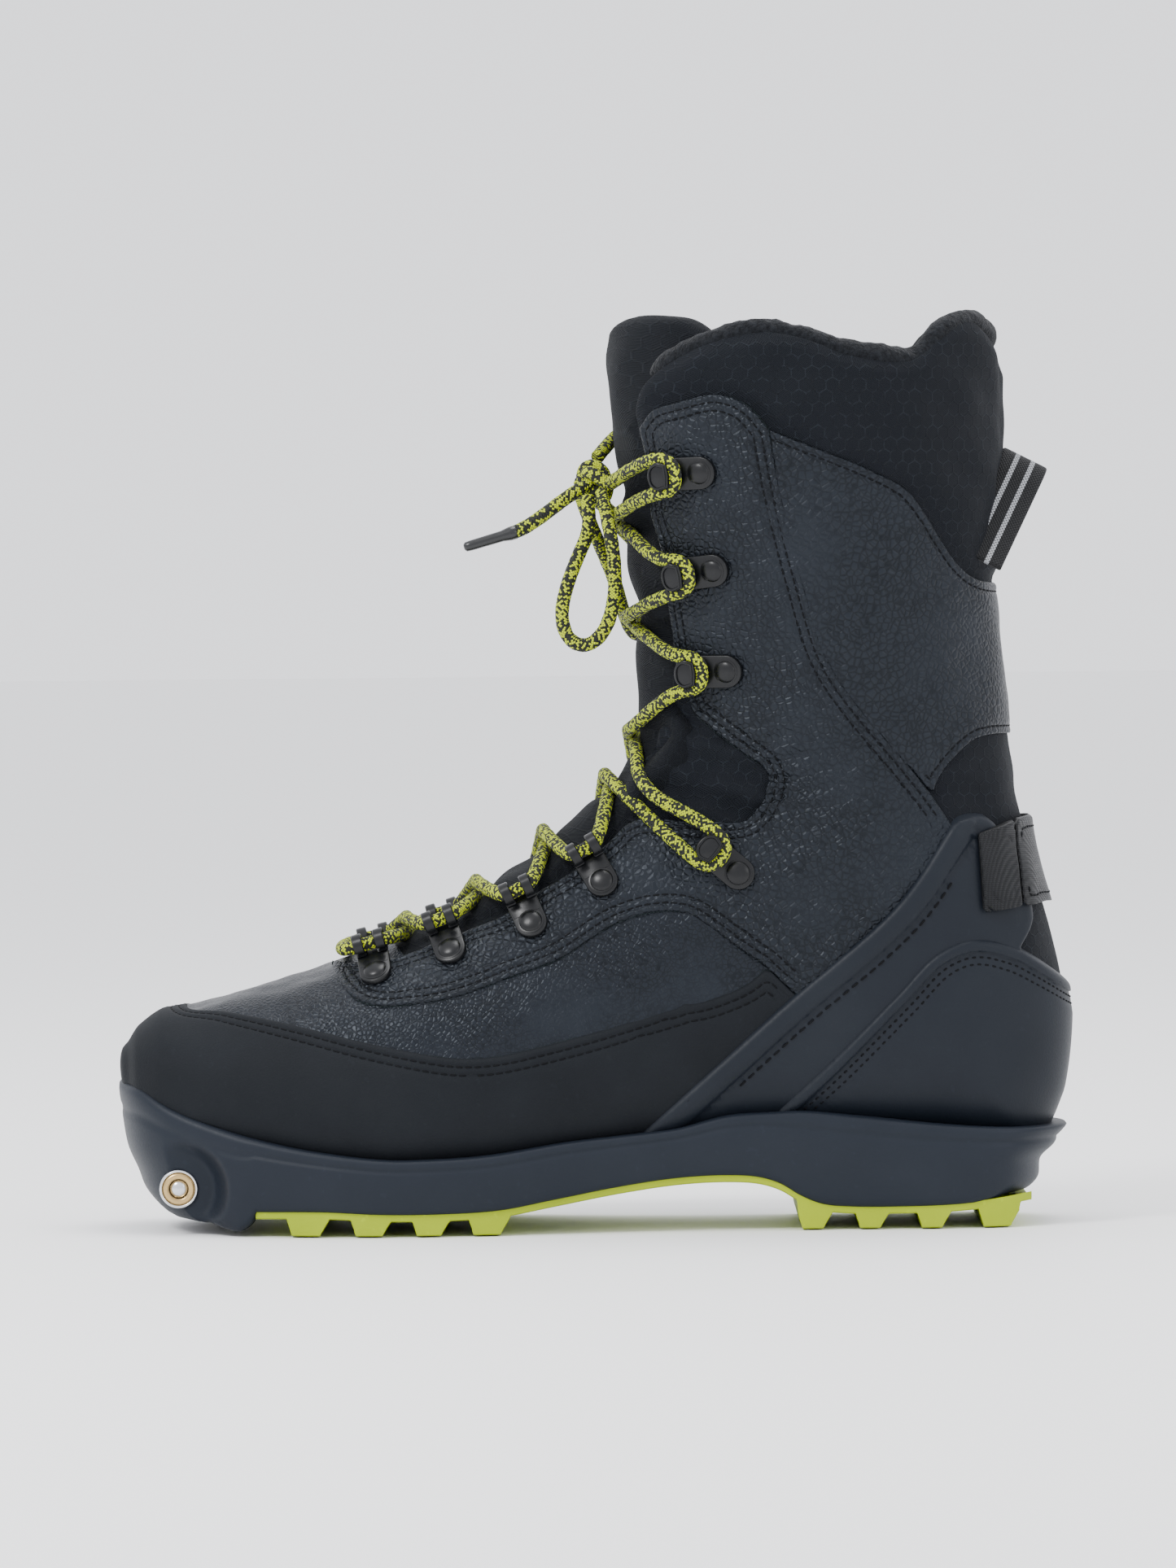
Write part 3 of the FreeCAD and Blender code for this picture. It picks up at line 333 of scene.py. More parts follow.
HEX_TALL = math.sqrt(3.0)
HEX_AWAY = 400.0              # whole cells that keep the lattice coordinates above zero


def hex_lines(s, source, size_mm, width):
    """Lines of a hexagon lattice, 1 on a line and 0 between lines, on the first two coordinates."""
    flat = s.vector("MULTIPLY", source, (1000.0 / size_mm, 1000.0 / size_mm, 0.0))
    cell, half = (1.0, HEX_TALL, 1.0), (0.5, HEX_TALL / 2, 0.5)

    def centred(cells_away):
        away = s.vector("ADD", flat, (cells_away, cells_away * HEX_TALL, 0.0))
        inside = s.vector("SUBTRACT", s.vector("MODULO", away, cell), half)
        return s.vector("MULTIPLY", inside, (1.0, 1.0, 0.0))

    flat_one, flat_two = centred(HEX_AWAY), centred(HEX_AWAY + 0.5)
    nearer = s.math("LESS_THAN", s.vector("LENGTH", flat_one, out=1), s.vector("LENGTH", flat_two, out=1))
    pick = s.node("ShaderNodeMix", data_type='VECTOR')
    s.put(pick.inputs["Factor"], nearer)
    s.join(flat_two, pick.inputs[4])
    s.join(flat_one, pick.inputs[5])
    near = s.vector("ABSOLUTE", pick.outputs[1])
    slant = s.vector("DOT_PRODUCT", near, (0.5, HEX_TALL / 2, 0.0), out=1)
    split = s.parts(near)
    edge = s.math("MAXIMUM", slant, split["X"])
    return s.ramp(edge, 0.5 - width, 0.5 - width * 0.3)


def textile_material(name, colour, line, cell_mm=6.2):
    """Dense woven cloth with a faint raised hexagon rip-stop grid; the grid lines are painted lighter as
    painted highlight, and the colour follows the weave relief as painted shade.
    """
    s = Shader(name, colour, rough=0.78, sheen=0.02, spec=0.15)
    side = s.parts(s.space)
    both = s.node("ShaderNodeCombineXYZ")
    s.put(both.inputs["X"], s.math("ADD", side["X"], s.math("MULTIPLY", side["Y"], 0.35)))
    s.put(both.inputs["Y"], side["Z"])
    lines = hex_lines(s, both.outputs[0], cell_mm, 0.07)
    broken = s.math("MULTIPLY", lines, s.ramp(s.noise(3.2, 2.0), 0.42, 0.6))
    weave_x = s.math("SINE", s.math("MULTIPLY", side["Z"], 9000.0))
    weave_y = s.math("SINE", s.math("MULTIPLY", s.math("ADD", side["X"], side["Y"]), 9000.0))
    weave = s.math("MULTIPLY", weave_x, weave_y)
    s.bump(weave, 0.10)
    s.bump(lines, 0.16)
    s.bump(s.noise(12.0, 3.0), 0.7, 0.35)
    # painted shade: the colour follows the weave relief, darker in the dips and up to 1.4 times lighter on the
    # crowns
    tone = s.mix(s.math("MULTIPLY_ADD", weave, 0.2, 0.3), colour, tuple(v * 1.8 for v in colour))
    # painted highlight: the raised hexagon lines take the lighter line colour, broken up at random
    s.colour(s.mix(s.math("MULTIPLY", broken, 0.8), tone, line))
    return s.material


def rubber_material(name, colour, light, rough, grain_mm=0.8, depth=0.06, spec=0.4):
    """Moulded matte rubber or TPU: fine tooth, faint scuffs and dust in the tone."""
    s = Shader(name, colour, rough=rough, spec=spec)
    fine = s.noise(grain_mm, 2.0)
    broad = s.noise(40.0, 4.0)
    dust = s.ramp(s.noise(2.4, 1.0, 0.4), 0.70, 0.76)
    tone = s.mix(s.ramp(broad, 0.35, 0.7), colour, light)
    s.colour(s.mix(s.math("MULTIPLY", dust, 0.10), tone, tuple(min(1.0, v * 2.2) for v in light)))
    s.rough(s.math("MULTIPLY_ADD", fine, 0.16, rough - 0.08))
    s.bump(fine, depth)
    s.bump(s.noise(18.0, 3.0), 0.25, 0.3)
    return s.material


def metal_material(name, colour, rough, metal=1.0, coat=0.0, scratch=0.05):
    s = Shader(name, colour, rough=rough, metal=metal, coat=coat, spec=0.28)
    fine = s.noise(1.4, 3.0)
    s.rough(s.math("MULTIPLY_ADD", fine, 0.18, rough - 0.07))
    s.bump(fine, 0.02)
    scratched = tuple(min(1.0, v * (1 + scratch * 8)) for v in colour)
    s.colour(s.mix(s.ramp(s.noise(3.0, 4.0), 0.62, 0.7), colour, scratched))
    return s.material


LACE_YELLOW, LACE_BLACK = (0.52, 0.62, 0.002), (0.005, 0.006, 0.005)
BRAID_ROUND = 12                # strands each way that show round the lace
BRAID_PITCH_MM = 11.0          # length of one full turn of a strand


def lace_material():
    """Round braided lace: slanting strands pass over and under, neon yellow and black at random."""
    s = Shader("lace_braid", LACE_YELLOW, rough=0.7, sheen=0.05, spec=0.3)
    part = s.parts(s.uv)
    along = s.math("MULTIPLY", part["X"], BRAID_ROUND * 1000.0 / BRAID_PITCH_MM)
    across = s.math("MULTIPLY", part["Y"], float(BRAID_ROUND))
    left = s.math("ADD", along, across)
    right = s.math("SUBTRACT", along, across)
    left_id, right_id = s.math("FLOOR", left), s.math("FLOOR", right)
    on_top = s.math("MODULO", s.math("ADD", s.math("ADD", left_id, right_id), 4000.0), 2.0)

    def strand(number, other, seed):
        key = s.node("ShaderNodeCombineXYZ")
        s.put(key.inputs["X"], number)
        s.put(key.inputs["Y"], s.math("FLOOR", s.math("DIVIDE", other, 2.0)))
        s.put(key.inputs["Z"], seed)
        white = s.node("ShaderNodeTexWhiteNoise", noise_dimensions='3D')
        s.join(key.outputs[0], white.inputs["Vector"])
        return s.math("GREATER_THAN", white.outputs["Value"], 0.52)

    left_mid = s.math("PINGPONG", left, 0.5)
    right_mid = s.math("PINGPONG", right, 0.5)
    pick = s.node("ShaderNodeMix", data_type='FLOAT')
    s.put(pick.inputs["Factor"], on_top)
    s.put(pick.inputs["A"], strand(right_id, left_id, 3.0))
    s.put(pick.inputs["B"], strand(left_id, right_id, 8.0))
    is_yellow = pick.outputs["Result"]
    body = s.node("ShaderNodeMix", data_type='FLOAT')
    s.put(body.inputs["Factor"], on_top)
    s.put(body.inputs["A"], right_mid)
    s.put(body.inputs["B"], left_mid)
    crown = body.outputs["Result"]
    shade = s.ramp(crown, 0.02, 0.22)
    fibre = s.noise(0.5, 2.0)
    yellow = s.mix(fibre, (0.36, 0.44, 0.0), (0.56, 0.66, 0.0))
    tone = s.mix(is_yellow, LACE_BLACK, yellow)
    s.colour(s.mix(shade, (0.010, 0.014, 0.003), tone))
    s.bump(crown, 0.5)
    s.bump(fibre, 0.08)
    return s.material


def strap_material():
    """Glossy vinyl pressed with a small slanted lattice, painted darker in the lattice dips as painted shade.
    """
    s = Shader("strap_vinyl", (0.0045, 0.0050, 0.0060), rough=0.34, spec=0.16)
    part = s.parts(s.space)
    run = s.math("ADD", part["X"], s.math("MULTIPLY", part["Y"], -0.7))
    left = s.math("SINE", s.math("MULTIPLY", s.math("ADD", run, part["Z"]), 4800.0))
    right = s.math("SINE", s.math("MULTIPLY", s.math("SUBTRACT", run, part["Z"]), 4800.0))
    lattice = s.math("MULTIPLY", left, right)
    s.bump(lattice, 0.12)
    s.bump(s.noise(11.0, 3.0), 0.5, 0.4)
    # painted shade: the colour follows the pressed lattice, darker in its dips and lighter on its crowns
    s.colour(s.mix(s.ramp(lattice, -1.0, 1.0), (0.0025, 0.0028, 0.0034), (0.0085, 0.0092, 0.0110)))
    s.rough(s.math("MULTIPLY_ADD", s.noise(2.0, 3.0), 0.2, 0.30))
    return s.material


def webbing_material():
    """Black webbing with two silver stripes and a fine rib across; the rib dips are painted darker as painted
    shade, on the ground and on the stripes.
    """
    s = Shader("webbing_striped", (0.004, 0.0045, 0.0055), rough=0.7, sheen=0.05, spec=0.25)
    part = s.parts(s.uv)
    across = part["Y"]
    first = s.math("LESS_THAN", s.math("ABSOLUTE", s.math("SUBTRACT", across, 0.17)), 0.05)
    second = s.math("LESS_THAN", s.math("ABSOLUTE", s.math("ADD", across, 0.17)), 0.05)
    stripe = s.math("MAXIMUM", first, second)
    rib = s.math("SINE", s.math("MULTIPLY", part["X"], 2 * math.pi * 900.0))
    weave = s.math("SINE", s.math("MULTIPLY", across, 2 * math.pi * 13.0))
    cloth = s.math("MULTIPLY", rib, weave)
    # painted shade: the silver stripes fade out in the rib dips
    broken = s.math("MULTIPLY", stripe, s.ramp(cloth, -1.0, 0.2))
    # painted shade: the black ground is darker in the rib dips and lighter on the rib crowns
    ground = s.mix(s.ramp(cloth, -1.0, 1.0), (0.0025, 0.0026, 0.0032), (0.0085, 0.0090, 0.0105))
    s.colour(s.mix(broken, ground, (0.36, 0.37, 0.39)))
    s.bump(cloth, 0.22)
    return s.material


def fleece_material():
    """Short dark fleece: matte tufts, painted darker between the tufts as painted shade."""
    s = Shader("fleece", (0.0055, 0.0062, 0.0080), rough=0.95, sheen=0.12, spec=0.1)
    tuft = s.noise(1.6, 4.0, 0.7)
    s.bump(tuft, 0.8)
    s.bump(s.noise(5.0, 3.0), 0.8, 0.5)
    # painted shade: the colour follows the tuft relief, darker in the hollows between tufts
    s.colour(s.mix(s.ramp(tuft, 0.35, 0.68), (0.0030, 0.0034, 0.0044), (0.0120, 0.0135, 0.0165)))
    return s.material


def make_materials():
    m = {}
    # each leather's first colour is cut to 0.3 in the grain valleys as painted shade; the second is the colour
    # of the grain tops
    m["pebble"] = leather_material("leather_pebbled", (0.0032, 0.0042, 0.0062), (0.0060, 0.0074, 0.0100),
                                   1.9, 0.28, 0.33, 0.44)
    m["vamp"] = leather_material("leather_vamp", (0.0032, 0.0042, 0.0064), (0.0056, 0.0070, 0.0098),
                                 1.4, 0.14, 0.31, 0.42)
    m["cuff"] = leather_material("leather_cuff", (0.0034, 0.0044, 0.0064), (0.0064, 0.0078, 0.0106),
                                 2.0, 0.27, 0.34, 0.44)
    m["raw"] = rubber_material("leather_raw_edge", (0.003, 0.010, 0.0095), (0.005, 0.017, 0.016), 0.85, 0.5)
    # the last colour of each ripstop is the painted highlight on its raised hexagon lines
    m["cloth"] = textile_material("ripstop", (0.0026, 0.0036, 0.0058), (0.0100, 0.0130, 0.0180), 4.3)
    m["tongue"] = textile_material("tongue_ripstop", (0.0022, 0.0030, 0.0046), (0.0060, 0.0078, 0.0108), 4.6)
    m["rand"] = rubber_material("rand", (0.0058, 0.0070, 0.0090), (0.0085, 0.0100, 0.0125),
                                0.72, 0.55, 0.16, 0.12)
    m["tpu"] = rubber_material("tpu_slate", (0.0070, 0.0100, 0.0160), (0.0095, 0.0130, 0.0195),
                               0.48, 0.7, 0.035, 0.18)
    m["frame"] = rubber_material("tpu_frame", (0.0055, 0.0078, 0.0122), (0.0078, 0.0104, 0.0152),
                                 0.48, 0.7, 0.04, 0.17)
    m["lime"] = rubber_material("rubber_lime", (0.26, 0.335, 0.0), (0.31, 0.39, 0.0), 0.55, 0.9, 0.05, 0.25)
    m["black"] = metal_material("black_metal", (0.0030, 0.0034, 0.0042), 0.30, 0.0, 0.0, 0.03)
    m["brass"] = metal_material("brass", (0.52, 0.36, 0.16), 0.28)
    m["steel"] = metal_material("steel", (0.62, 0.63, 0.65), 0.22)
    m["thread"] = rubber_material("thread", (0.0014, 0.0016, 0.0022), (0.0040, 0.0046, 0.0060),
                                  0.7, 0.3, 0.05, 0.12)
    m["lace"] = lace_material()
    m["aglet"] = metal_material("aglet_plastic", (0.0050, 0.0055, 0.0060), 0.3, 0.0, 0.4)
    m["strap"] = strap_material()
    m["strap_edge"] = rubber_material("strap_edge", (0.0022, 0.0024, 0.0030), (0.0040, 0.0044, 0.0050),
                                      0.5, 0.4)
    m["webbing"] = webbing_material()
    m["fleece"] = fleece_material()
    return m


MAT = make_materials()

# ---- The boot's dimensions in millimetres, the same as the CAD part's ----
TEXTILE = 0.9                 # outer face of each layer, measured out from the last surface
VAMP = 1.4
CUFF = 2.0
LEATHER = 2.6
FRAME = 3.4
HEEL_CUP = 3.6
STRAP_IN, STRAP_OUT = 4.5, 6.3
LINING_OUT, LINING_IN = -1.7, -6.5
TONGUE_OUT, TONGUE_IN = -3.4, -8.0
LACE_R = 2.15
AXLE_X, AXLE_Z, AXLE_R, AXLE_HALF = -131.9, 14.2, 3.0, 33.0
BUSH_R = 5.05
WEB_WIDE = 15.5

# ---- the last: closed sections fanned from the front/top line (A) to the bottom/back line (B) ----
# xA, zA, xB, zB, half width, centre y, height share of the widest point, roundness at A, at B
STATIONS = [
    (-147.0, 55.5, -146.2, 43.0, 13.0, 3.0, 0.55, 2.2, 2.2),
    (-144.6, 61.5, -144.0, 38.5, 22.0, 3.0, 0.58, 2.3, 2.6),
    (-138.5, 66.8, -138.5, 34.0, 29.5, 2.5, 0.60, 2.4, 3.0),
    (-128.0, 69.0, -128.0, 29.0, 35.0, 1.5, 0.62, 2.4, 3.2),
    (-112.0, 73.8, -112.0, 24.0, 40.0, 0.8, 0.64, 2.3, 3.2),
    (-90.0, 80.0, -90.0, 19.0, 45.0, -0.4, 0.66, 2.2, 3.2),
    (-65.0, 89.5, -65.0, 16.5, 46.5, -1.5, 0.68, 2.1, 3.2),
    (-40.0, 102.0, -37.0, 18.0, 44.5, -2.8, 0.70, 2.1, 3.0),
    (-22.0, 114.5, -8.0, 21.5, 41.5, -3.2, 0.70, 2.1, 3.0),
    (-4.0, 130.0, 18.0, 24.5, 38.0, -2.8, 0.66, 2.1, 3.0),
    (9.0, 142.5, 46.0, 28.0, 36.0, -2.0, 0.60, 2.1, 3.0),
    (13.5, 154.0, 76.0, 28.5, 35.5, -1.0, 0.56, 2.1, 3.0),
    (14.0, 166.0, 108.0, 26.5, 35.5, -0.6, 0.54, 2.1, 3.0),
    (14.0, 178.0, 136.0, 26.0, 36.0, -0.3, 0.52, 2.1, 2.8),
    (13.6, 188.0, 146.0, 44.0, 36.5, 0.0, 0.50, 2.1, 2.6),
    (13.0, 197.0, 148.6, 68.0, 37.5, 0.0, 0.50, 2.1, 2.4),
    (12.2, 206.0, 143.4, 94.0, 38.5, 0.0, 0.50, 2.1, 2.3),
    (11.2, 216.0, 135.8, 122.0, 40.0, 0.0, 0.50, 2.1, 2.2),
    (10.0, 226.0, 131.6, 150.0, 42.0, 0.0, 0.50, 2.1, 2.2),
    (8.8, 237.0, 128.4, 180.0, 44.0, 0.0, 0.50, 2.1, 2.2),
    (7.2, 249.0, 126.6, 208.0, 46.0, 0.0, 0.50, 2.1, 2.2),
    (5.6, 262.0, 127.6, 236.0, 47.0, 0.0, 0.50, 2.1, 2.2),
    (5.4, 276.0, 128.0, 262.0, 47.5, 0.0, 0.50, 2.1, 2.2),
    (8.0, 296.0, 128.0, 296.0, 47.5, 0.0, 0.50, 2.1, 2.2),
]

# ---- panel edges on the side view (x, z) ----
THROAT_LOW = [(-84.0, 84.6), (-74.0, 84.6), (-62.9, 86.2), (-49.8, 91.2), (-39.6, 95.2), (-29.4, 99.2),
              (-17.1, 107.1), (-7.0, 113.1), (4.3, 122.1), (9.4, 127.1), (15.4, 129.9)]
INSERT_FRONT = [(15.4, 129.9), (20.5, 145.0), (30.8, 162.6)]
INSERT_LOW = [(15.4, 129.9), (24.6, 129.0), (36.7, 128.4), (46.9, 128.8), (52.0, 133.8), (54.6, 140.9)]
INSERT_HIGH = [(54.6, 140.9), (53.1, 144.9), (46.1, 150.1), (38.5, 156.2), (30.8, 162.6)]
THROAT_HIGH = [(30.8, 162.6), (26.4, 175.3), (25.3, 184.4), (23.2, 198.1), (22.1, 211.8), (18.3, 225.6),
               (17.8, 238.1), (15.1, 252.0)]
FRONT_TOP = [(15.1, 252.0), (19.3, 257.6), (26.6, 259.7), (38.9, 262.1), (48.5, 258.5), (55.5, 250.7)]
REAR_TOP = [(55.5, 250.7), (70.2, 244.9), (90.6, 236.3), (98.6, 231.6), (104.2, 224.6), (109.8, 215.5),
            (115.3, 207.5), (121.1, 203.4), (140.0, 201.0)]
SEAM_HIGH = [(55.5, 250.7), (58.7, 232.0), (65.3, 204.6), (73.0, 179.4), (80.8, 166.8), (97.7, 146.2)]
SEAM_LOW = [(97.7, 146.2), (105.9, 135.7), (112.2, 126.4)]
CUFF_LOW = [(105.9, 135.7), (109.4, 142.6), (115.1, 149.3), (121.0, 153.8), (145.0, 154.1)]
QUARTER_LOW = [(-84.0, 84.6), (-79.9, 77.9), (-75.0, 73.8), (-67.9, 71.7), (-57.8, 72.1), (-47.7, 73.5),
               (-37.6, 76.5), (-27.5, 80.3), (-11.2, 86.2), (-3.1, 91.2), (5.0, 96.2), (13.0, 99.2),
               (22.2, 100.5), (29.3, 99.5), (35.2, 95.9), (43.3, 89.7), (53.5, 82.5)]
QUARTER_TAIL = [(53.5, 82.5), (62.4, 73.8)]
RAND_TOP = [(-132.0, 80.0), (-131.0, 71.2), (-115.9, 69.7), (-93.1, 65.5), (-70.5, 60.1), (-50.0, 56.0),
            (-42.0, 55.2), (-30.7, 55.8), (-2.1, 62.3), (25.8, 70.1), (40.6, 74.0), (48.5, 77.8),
            (53.5, 82.5)]
FRAME_FRONT_LOW = [(13.9, 30.3), (55.3, 67.6), (62.4, 73.8)]
FRAME_FRONT = [(62.4, 73.8), (94.3, 101.4), (112.2, 126.4)]
FRAME_TOP = [(112.2, 126.4), (114.5, 128.2), (123.6, 128.4), (127.4, 124.8)]
FRAME_BACK = [(127.4, 124.8), (137.9, 97.4), (133.4, 87.1)]
CUP_EDGE_FRONT = [(56.8, 36.8), (71.1, 50.2), (94.2, 73.4), (105.7, 85.2), (114.8, 89.7), (122.8, 90.2),
                  (133.4, 87.1)]
CUP_EDGE_BACK = [(133.4, 87.1), (142.0, 81.6), (160.0, 68.0)]
FEATHER = [(-160.0, 46.0), (-144.0, 41.0), (-138.5, 36.2), (-128.0, 31.2), (-112.0, 26.2), (-90.0, 21.2),
           (-65.0, 18.7), (-37.0, 20.2), (-8.0, 23.7), (13.9, 26.6), (46.0, 30.2), (76.0, 30.7),
           (108.0, 28.7), (136.0, 28.2), (160.0, 28.0)]
COLLAR_TOP = [(15.1, 252.0), (14.2, 257.6), (16.2, 264.5), (20.8, 269.3), (28.6, 274.3), (39.3, 278.8),
              (53.0, 281.5), (67.0, 279.2), (78.3, 274.9), (92.3, 272.5), (100.3, 272.4), (105.0, 275.2),
              (109.7, 280.3), (115.4, 283.9), (120.1, 284.4), (123.7, 281.5), (127.0, 276.8), (129.0, 271.0),
              (140.0, 262.0)]
TONGUE_TOP = [(-5.0, 262.0), (3.5, 273.0), (6.5, 283.0), (11.0, 287.2), (23.1, 287.2), (30.0, 285.8),
              (36.0, 282.0), (41.0, 276.0), (43.0, 262.0)]

# ---- sole ----
SOLE_PLAN = [(-151.8, 3.0), (-147.5, -19.0), (-138.0, -31.5), (-120.0, -41.0), (-95.0, -49.0),
             (-70.0, -53.0), (-45.0, -52.5), (-15.0, -48.0), (15.0, -43.0), (45.0, -39.5), (80.0, -37.5),
             (110.0, -38.0), (132.0, -33.0), (143.0, -19.0), (146.2, 0.0), (143.0, 19.0), (132.0, 33.0),
             (110.0, 37.5), (80.0, 36.0), (45.0, 33.5), (15.0, 35.0), (-15.0, 41.0), (-45.0, 47.5),
             (-70.0, 50.5), (-95.0, 49.5), (-120.0, 43.5), (-138.0, 35.5), (-147.5, 25.0)]
SOLE_RIM = [(-152.5, 47.8), (-149.5, 46.3), (-145.7, 45.4), (-135.6, 39.5), (-120.4, 33.7), (-102.7, 29.0),
            (-85.0, 25.8), (-67.2, 23.8), (-54.5, 23.7), (-34.2, 24.8), (-8.8, 28.6), (13.8, 30.8),
            (25.3, 32.2), (41.0, 36.0), (55.0, 36.8), (64.2, 37.1), (82.3, 35.3), (105.0, 32.8),
            (128.0, 31.1), (150.0, 31.0)]
SOLE_NOSE = [(-152.5, 47.8), (-151.8, 41.7), (-150.7, 35.2), (-148.9, 26.0), (-145.8, 18.8), (-143.7, 13.0),
             (-139.6, 7.7), (-135.9, 4.6), (-132.2, 3.6), (-122.6, 2.0), (-113.1, 1.6), (-109.3, 4.0),
             (-107.4, 7.5)]
SOLE_BOTTOM = [(-107.4, 7.5), (-86.0, 7.6), (-67.5, 6.8), (-49.2, 6.8), (-30.6, 7.7), (-14.0, 10.6),
               (6.8, 14.3), (25.2, 16.7), (40.1, 17.3), (50.3, 16.6), (57.1, 14.5), (64.0, 10.4),
               (70.7, 7.8), (79.8, 6.9), (93.6, 6.8), (116.3, 7.6), (136.6, 10.3)]
SOLE_TAIL = [(136.6, 10.3), (139.6, 14.0), (140.2, 20.0), (144.7, 24.4), (146.4, 27.2), (150.0, 31.0)]
TREAD_THICK = 2.3
FORE_LUGS = [(-96.0, -87.1), (-75.9, -67.5), (-56.8, -49.2), (-39.1, -30.7)]
HEEL_LUGS = [(64.0, 70.6), (82.1, 88.5), (101.5, 107.9), (121.0, 129.6)]

UPPER_HOOKS = [((34.3, 237.6), (23.5, 237.4)), ((38.2, 207.1), (27.2, 206.0)), ((42.2, 175.4), (31.1, 175.4))]
ANKLE_HOOK = ((44.9, 111.9), (36.4, 119.0))
LACE_LOOPS = [((-69.1, 81.2), (-70.9, 92.5)), ((-45.5, 88.1), (-49.6, 100.5)), ((-20.0, 96.7), (-26.2, 110.3)),
              ((2.3, 109.5), (-5.9, 123.3))]
SIDES = {"lateral": -1, "medial": 1}

FLAP_SPLIT_TOP, FLAP_SPLIT_LOW = (132.4, 127.0), (134.6, 100.2)
FLAP_TIP_HIGH, FLAP_TIP_LOW = (120.9, 123.0), (122.1, 98.6)
FLAP_GAP = 0.5                # between the peeling end and the band

LOOP_FOOT = (121.5, 0.0, 209.5)
LOOP_LEAN = math.radians(27.0)

KNOT = (1.5, -3.0, 236.0)
BOW_LOOP_NEAR = [(-1.5, -9.0, 231.0), (0.0, -11.5, 221.5), (-4.5, -13.5, 212.0), (-8.4, -15.0, 202.0),
                 (-10.2, -16.5, 193.0), (-8.0, -18.0, 185.5), (-2.0, -19.5, 183.0), (4.0, -20.5, 188.0),
                 (7.0, -21.5, 198.0), (7.2, -22.0, 208.0), (6.0, -21.0, 218.0), (4.2, -14.5, 227.5),
                 (3.2, -9.5, 232.0)]
BOW_LOOP_FAR = [(-3.5, 3.0, 235.5), (-2.0, 12.0, 233.0), (4.0, 22.5, 228.0), (11.5, 33.0, 222.0),
                (17.5, 41.0, 214.5), (20.5, 46.0, 204.5), (20.0, 46.5, 194.0), (17.0, 43.0, 187.0),
                (13.0, 37.0, 186.5), (10.0, 31.0, 193.5), (7.5, 25.0, 203.5), (3.5, 17.5, 213.5),
                (-0.5, 9.5, 222.5), (-3.0, 2.5, 230.0)]
TAIL_NEAR = [(-3.5, -6.0, 233.5), (-9.5, -7.5, 229.5), (-16.0, -9.5, 224.5), (-22.5, -11.0, 220.3)]
TAIL_NEAR_TIP = (-40.0, -13.0, 215.2)
TAIL_FAR = [(2.0, 2.5, 243.5), (6.0, 11.5, 248.5), (10.0, 22.0, 252.0), (14.0, 33.0, 252.0),
            (17.5, 43.0, 247.5), (20.5, 49.5, 238.5), (22.5, 52.0, 227.5), (23.0, 52.5, 216.5)]
TAIL_FAR_TIP = (23.5, 52.0, 198.0)

CHANNEL_X, CHANNEL_Z, CHANNEL_R, CHANNEL_LONG = 11.0, 4.2, 2.65, 10.2
PLATE_LIFT, PLATE_THICK = 0.5, 1.2
NECK_R, NECK_TALL, HOOK_REACH = 1.9, 5.2, 10.8

# ---- The last surface ----
# place counts stations from the toe; angle runs from the front/top line (0) round the lateral side to the
# bottom/back line (pi); out is the distance outside the last
TABLE = np.array(STATIONS)
NOSE_ROUND = 2.6


def station_rows(place):
    """Smooth rows of the station table at fractional places."""
    place = np.clip(place, 0.0, len(TABLE) - 1.0)
    low = np.minimum(place.astype(int), len(TABLE) - 2)
    t = (place - low)[:, None]
    a = TABLE[np.maximum(low - 1, 0)]
    b, c = TABLE[low], TABLE[low + 1]
    d = TABLE[np.minimum(low + 2, len(TABLE) - 1)]
    curved = 0.5 * (2 * b + (c - a) * t + (2 * a - 5 * b + 4 * c - d) * t ** 2
                    + (3 * b - 3 * c + d - a) * t ** 3)
    straight = b + (c - b) * t
    return 0.6 * curved + 0.4 * straight


def surface(place, angle, out):
    """Places at a distance out from the last, for stations and angles."""
    place, angle, out = np.broadcast_arrays(*(np.atleast_1d(np.asarray(v, float)) for v in (place, angle, out)))
    s = station_rows(place)
    span_x, span_z = s[:, 2] - s[:, 0], s[:, 3] - s[:, 1]
    span = np.hypot(span_x, span_z)
    ux, uz = span_x / span, span_z / span
    side, rise = np.sin(angle), np.cos(angle)
    power = 2.0 / np.where(rise >= 0, s[:, 7], s[:, 8])
    reach = np.maximum(s[:, 4] + out, 2.0)
    y = s[:, 5] - np.sign(side) * np.abs(side) ** power * reach
    share = s[:, 6]
    bow = np.abs(rise) ** power
    along = np.where(rise >= 0, share * (1.0 - bow), share + (1.0 - share) * bow)
    along = along * (span + 2.0 * out) - out
    x, z = s[:, 0] + ux * along, s[:, 1] + uz * along
    x = x - out * np.clip(1.0 - place / 2.0, 0.0, 1.0)
    nose = np.clip(-place, 0.0, 1.0)
    shrink = np.sqrt(1.0 - nose ** 2)
    mid_x, mid_z = s[:, 0] + ux * span * 0.5, s[:, 1] + uz * span * 0.5
    mid_x = mid_x - out * np.clip(1.0 - place / 2.0, 0.0, 1.0)
    x = mid_x + (x - mid_x) * shrink - NOSE_ROUND * nose
    y = s[:, 5] + (y - s[:, 5]) * shrink
    z = mid_z + (z - mid_z) * shrink
    return np.stack([x, y, z], axis=1)


ROWS, COLUMNS = 300, 176


